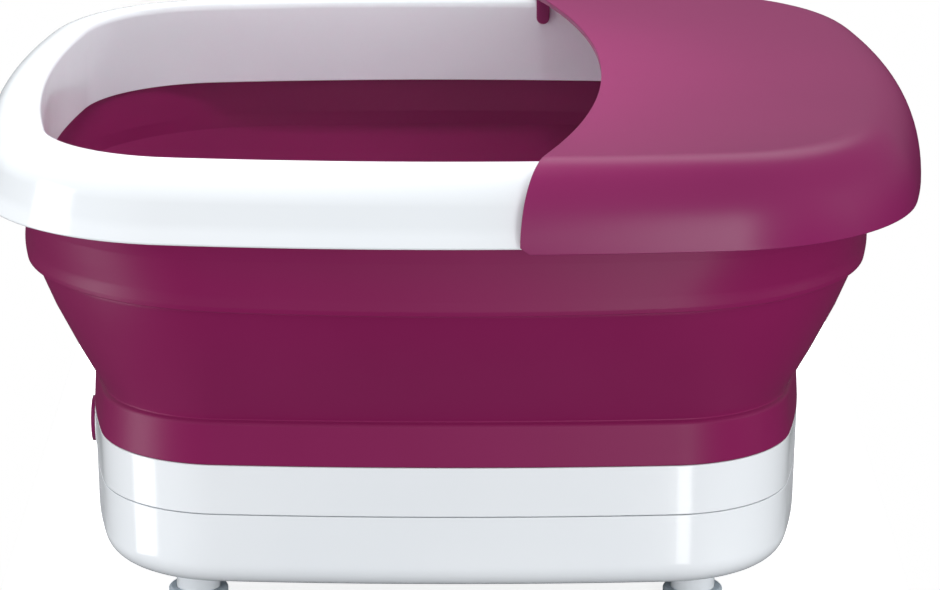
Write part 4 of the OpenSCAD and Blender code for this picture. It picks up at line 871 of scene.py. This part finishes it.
def rim_seats():
    """The sixteen places under the rim, four on each quarter, between twelve coarse steps."""
    coarse = [start + (stop - start) * i / count
              for start, stop, count in ((0, 10, 2), (10, 38, 7), (38, 52, 3)) for i in range(count)] + [52]
    ring = oval(rim_shape, -0.0106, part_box("rim_clamp_ring")[0].z)
    points = []
    for i in range(4):
        share = (i + 0.5) * 3
        k = int(share)
        p = ring[round(coarse[k])].lerp(ring[round(coarse[k + 1])], share - k)
        points += [(middle + sx * (p.x - middle), sy * p.y, p.z) for sx in (-1, 1) for sy in (-1, 1)]
    return points


for name, seats, length, body in (
        ("rim_screws", rim_seats(), 0.012, "rim_frame"),
        ("housing_screws", [(x, y, well_top) for x, y in posts], 0.0116, "base")):
    seat_mesh = bpy.data.meshes.new(name + "_seats")
    seat_mesh.from_pydata(seats, [], [])
    carrier = bpy.data.objects.new(name + "_seats", seat_mesh)
    bpy.context.scene.collection.objects.link(carrier)
    carrier.modifiers.new("screws", "NODES").node_group = screw_tree
    mesh = plain(carrier, {"Finish": zinc, "Shank length": length})
    bpy.data.objects.remove(carrier)
    fixed = shown_smooth(name + "_set", mesh, 40)
    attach(fixed, body)
    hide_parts(name)

# ---- Works inside the base -------------------------------------------------------------------
# The motor, pump, heater, board and hoses keep their solid shapes. Each gets the finish of its
# real material. They show only from below through the slots, or with the base opened.


def brushed(name, dark, light, rough, across_mm, along_scale=60.0):
    """A bare metal whose brush marks run along X."""
    made, tree, place, lines = clouded(name, dark, light, 1.0)
    drawn = add(tree, "ShaderNodeMapping", {"Scale": (along_scale, 1000 / across_mm, 1000 / across_mm)}, {
        "Vector": place})
    tree.links.new(drawn.outputs["Vector"], lines.node.inputs["Vector"])
    worn = add(tree, "ShaderNodeMapRange", {"To Min": rough - 0.06, "To Max": rough + 0.06}, {"Value": lines})
    shader = tree.nodes["Principled BSDF"]
    shader.inputs["Metallic"].default_value = 1.0
    tree.links.new(worn.outputs["Result"], shader.inputs["Roughness"])
    return made


steel = brushed("drawn_steel", "#8d9195", "#b5b9bc", 0.34, 0.25)
aluminium = brushed("rolled_aluminium", "#b9bcbf", "#d3d5d7", 0.38, 0.35)
copper = brushed("enamelled_copper_wire", "#8e4a28", "#c07646", 0.32, 0.40)
bronze = brushed("sintered_bronze", "#9a7444", "#c09a62", 0.50, 0.30)
black_nylon = grained("black_nylon", "#18191b", "#242528", 0.46, 1.1)
ivory_nylon = grained("ivory_nylon", "#dcd8cb", "#e7e4d9", 0.48, 1.3)
ferrite = grained("sintered_ferrite", "#2c2d30", "#3c3d41", 0.62, 0.6)
solder_mask = grained("green_solder_mask", "#0f4a26", "#1a6034", 0.30, 2.4)
pvc_hose = grained("milky_pvc_hose", "#c9cecd", "#d9dddc", 0.28, 3.0)
for finish, names in (
        (steel, ("inner_screws", "motor_can", "motor_strap", "motor_shaft", "vibration_weight",
                 "pump_core", "pump_pin", "pump_arm")),
        (aluminium, ("heater_plate",)), (bronze, ("motor_bushes",)),
        (copper, ("heater_foil", "rotor_core", "pump_coil")),
        (black_nylon, ("push_switch", "board_parts", "pump_case", "pump_cover", "lead_clamp", "thermostat")),
        (ivory_nylon, ("switch_plunger", "motor_end_cap", "pump_valve_box", "check_valve", "air_tee",
                       "terminal_block", "thermal_fuse")),
        (ferrite, ("motor_magnets", "pump_magnet")), (solder_mask, ("control_board",)),
        (pvc_hose, ("air_hose_pump", "air_hose_floor")),
        (black_rubber, ("motor_sleeve", "pump_grommets", "pump_diaphragm"))):
    for name in names:
        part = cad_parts[name]
        part.data.materials.clear()
        part.data.materials.append(finish)

# ---- Mains lead inlet ------------------------------------------------------------------------
# A black rubber gland that snaps into the back wall. The lead itself is left out.
bore_r, neck_r, flange_r, snap_r, back_z = 0.0035, 0.0065, 0.009, 0.0083, 0.0038
gland_shape = [(bore_r, back_z, 0.0004), (0.0075, back_z, 0.0006), (flange_r, 0.0022, 0.0006),
               (flange_r, 0.0012, 0.0003), (neck_r, 0.0012, 0), (neck_r, -0.0040, 0),
               (snap_r, -0.0040, 0.0003), (0.0077, -0.0064, 0.0004), (bore_r, -0.0064, 0.0004),
               (bore_r, back_z, 0)]
along_y = Matrix.Rotation(math.radians(-90), 4, "X")
at_gland = Matrix.Translation((gland_mid.x, gland[1].y - back_z, gland_mid.z)) @ along_y
inlet = shown_smooth("lead_inlet", turned(gland_shape, at_gland))
inlet.data.materials.append(black_rubber)
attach(inlet, "base")
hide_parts("lead_gland")
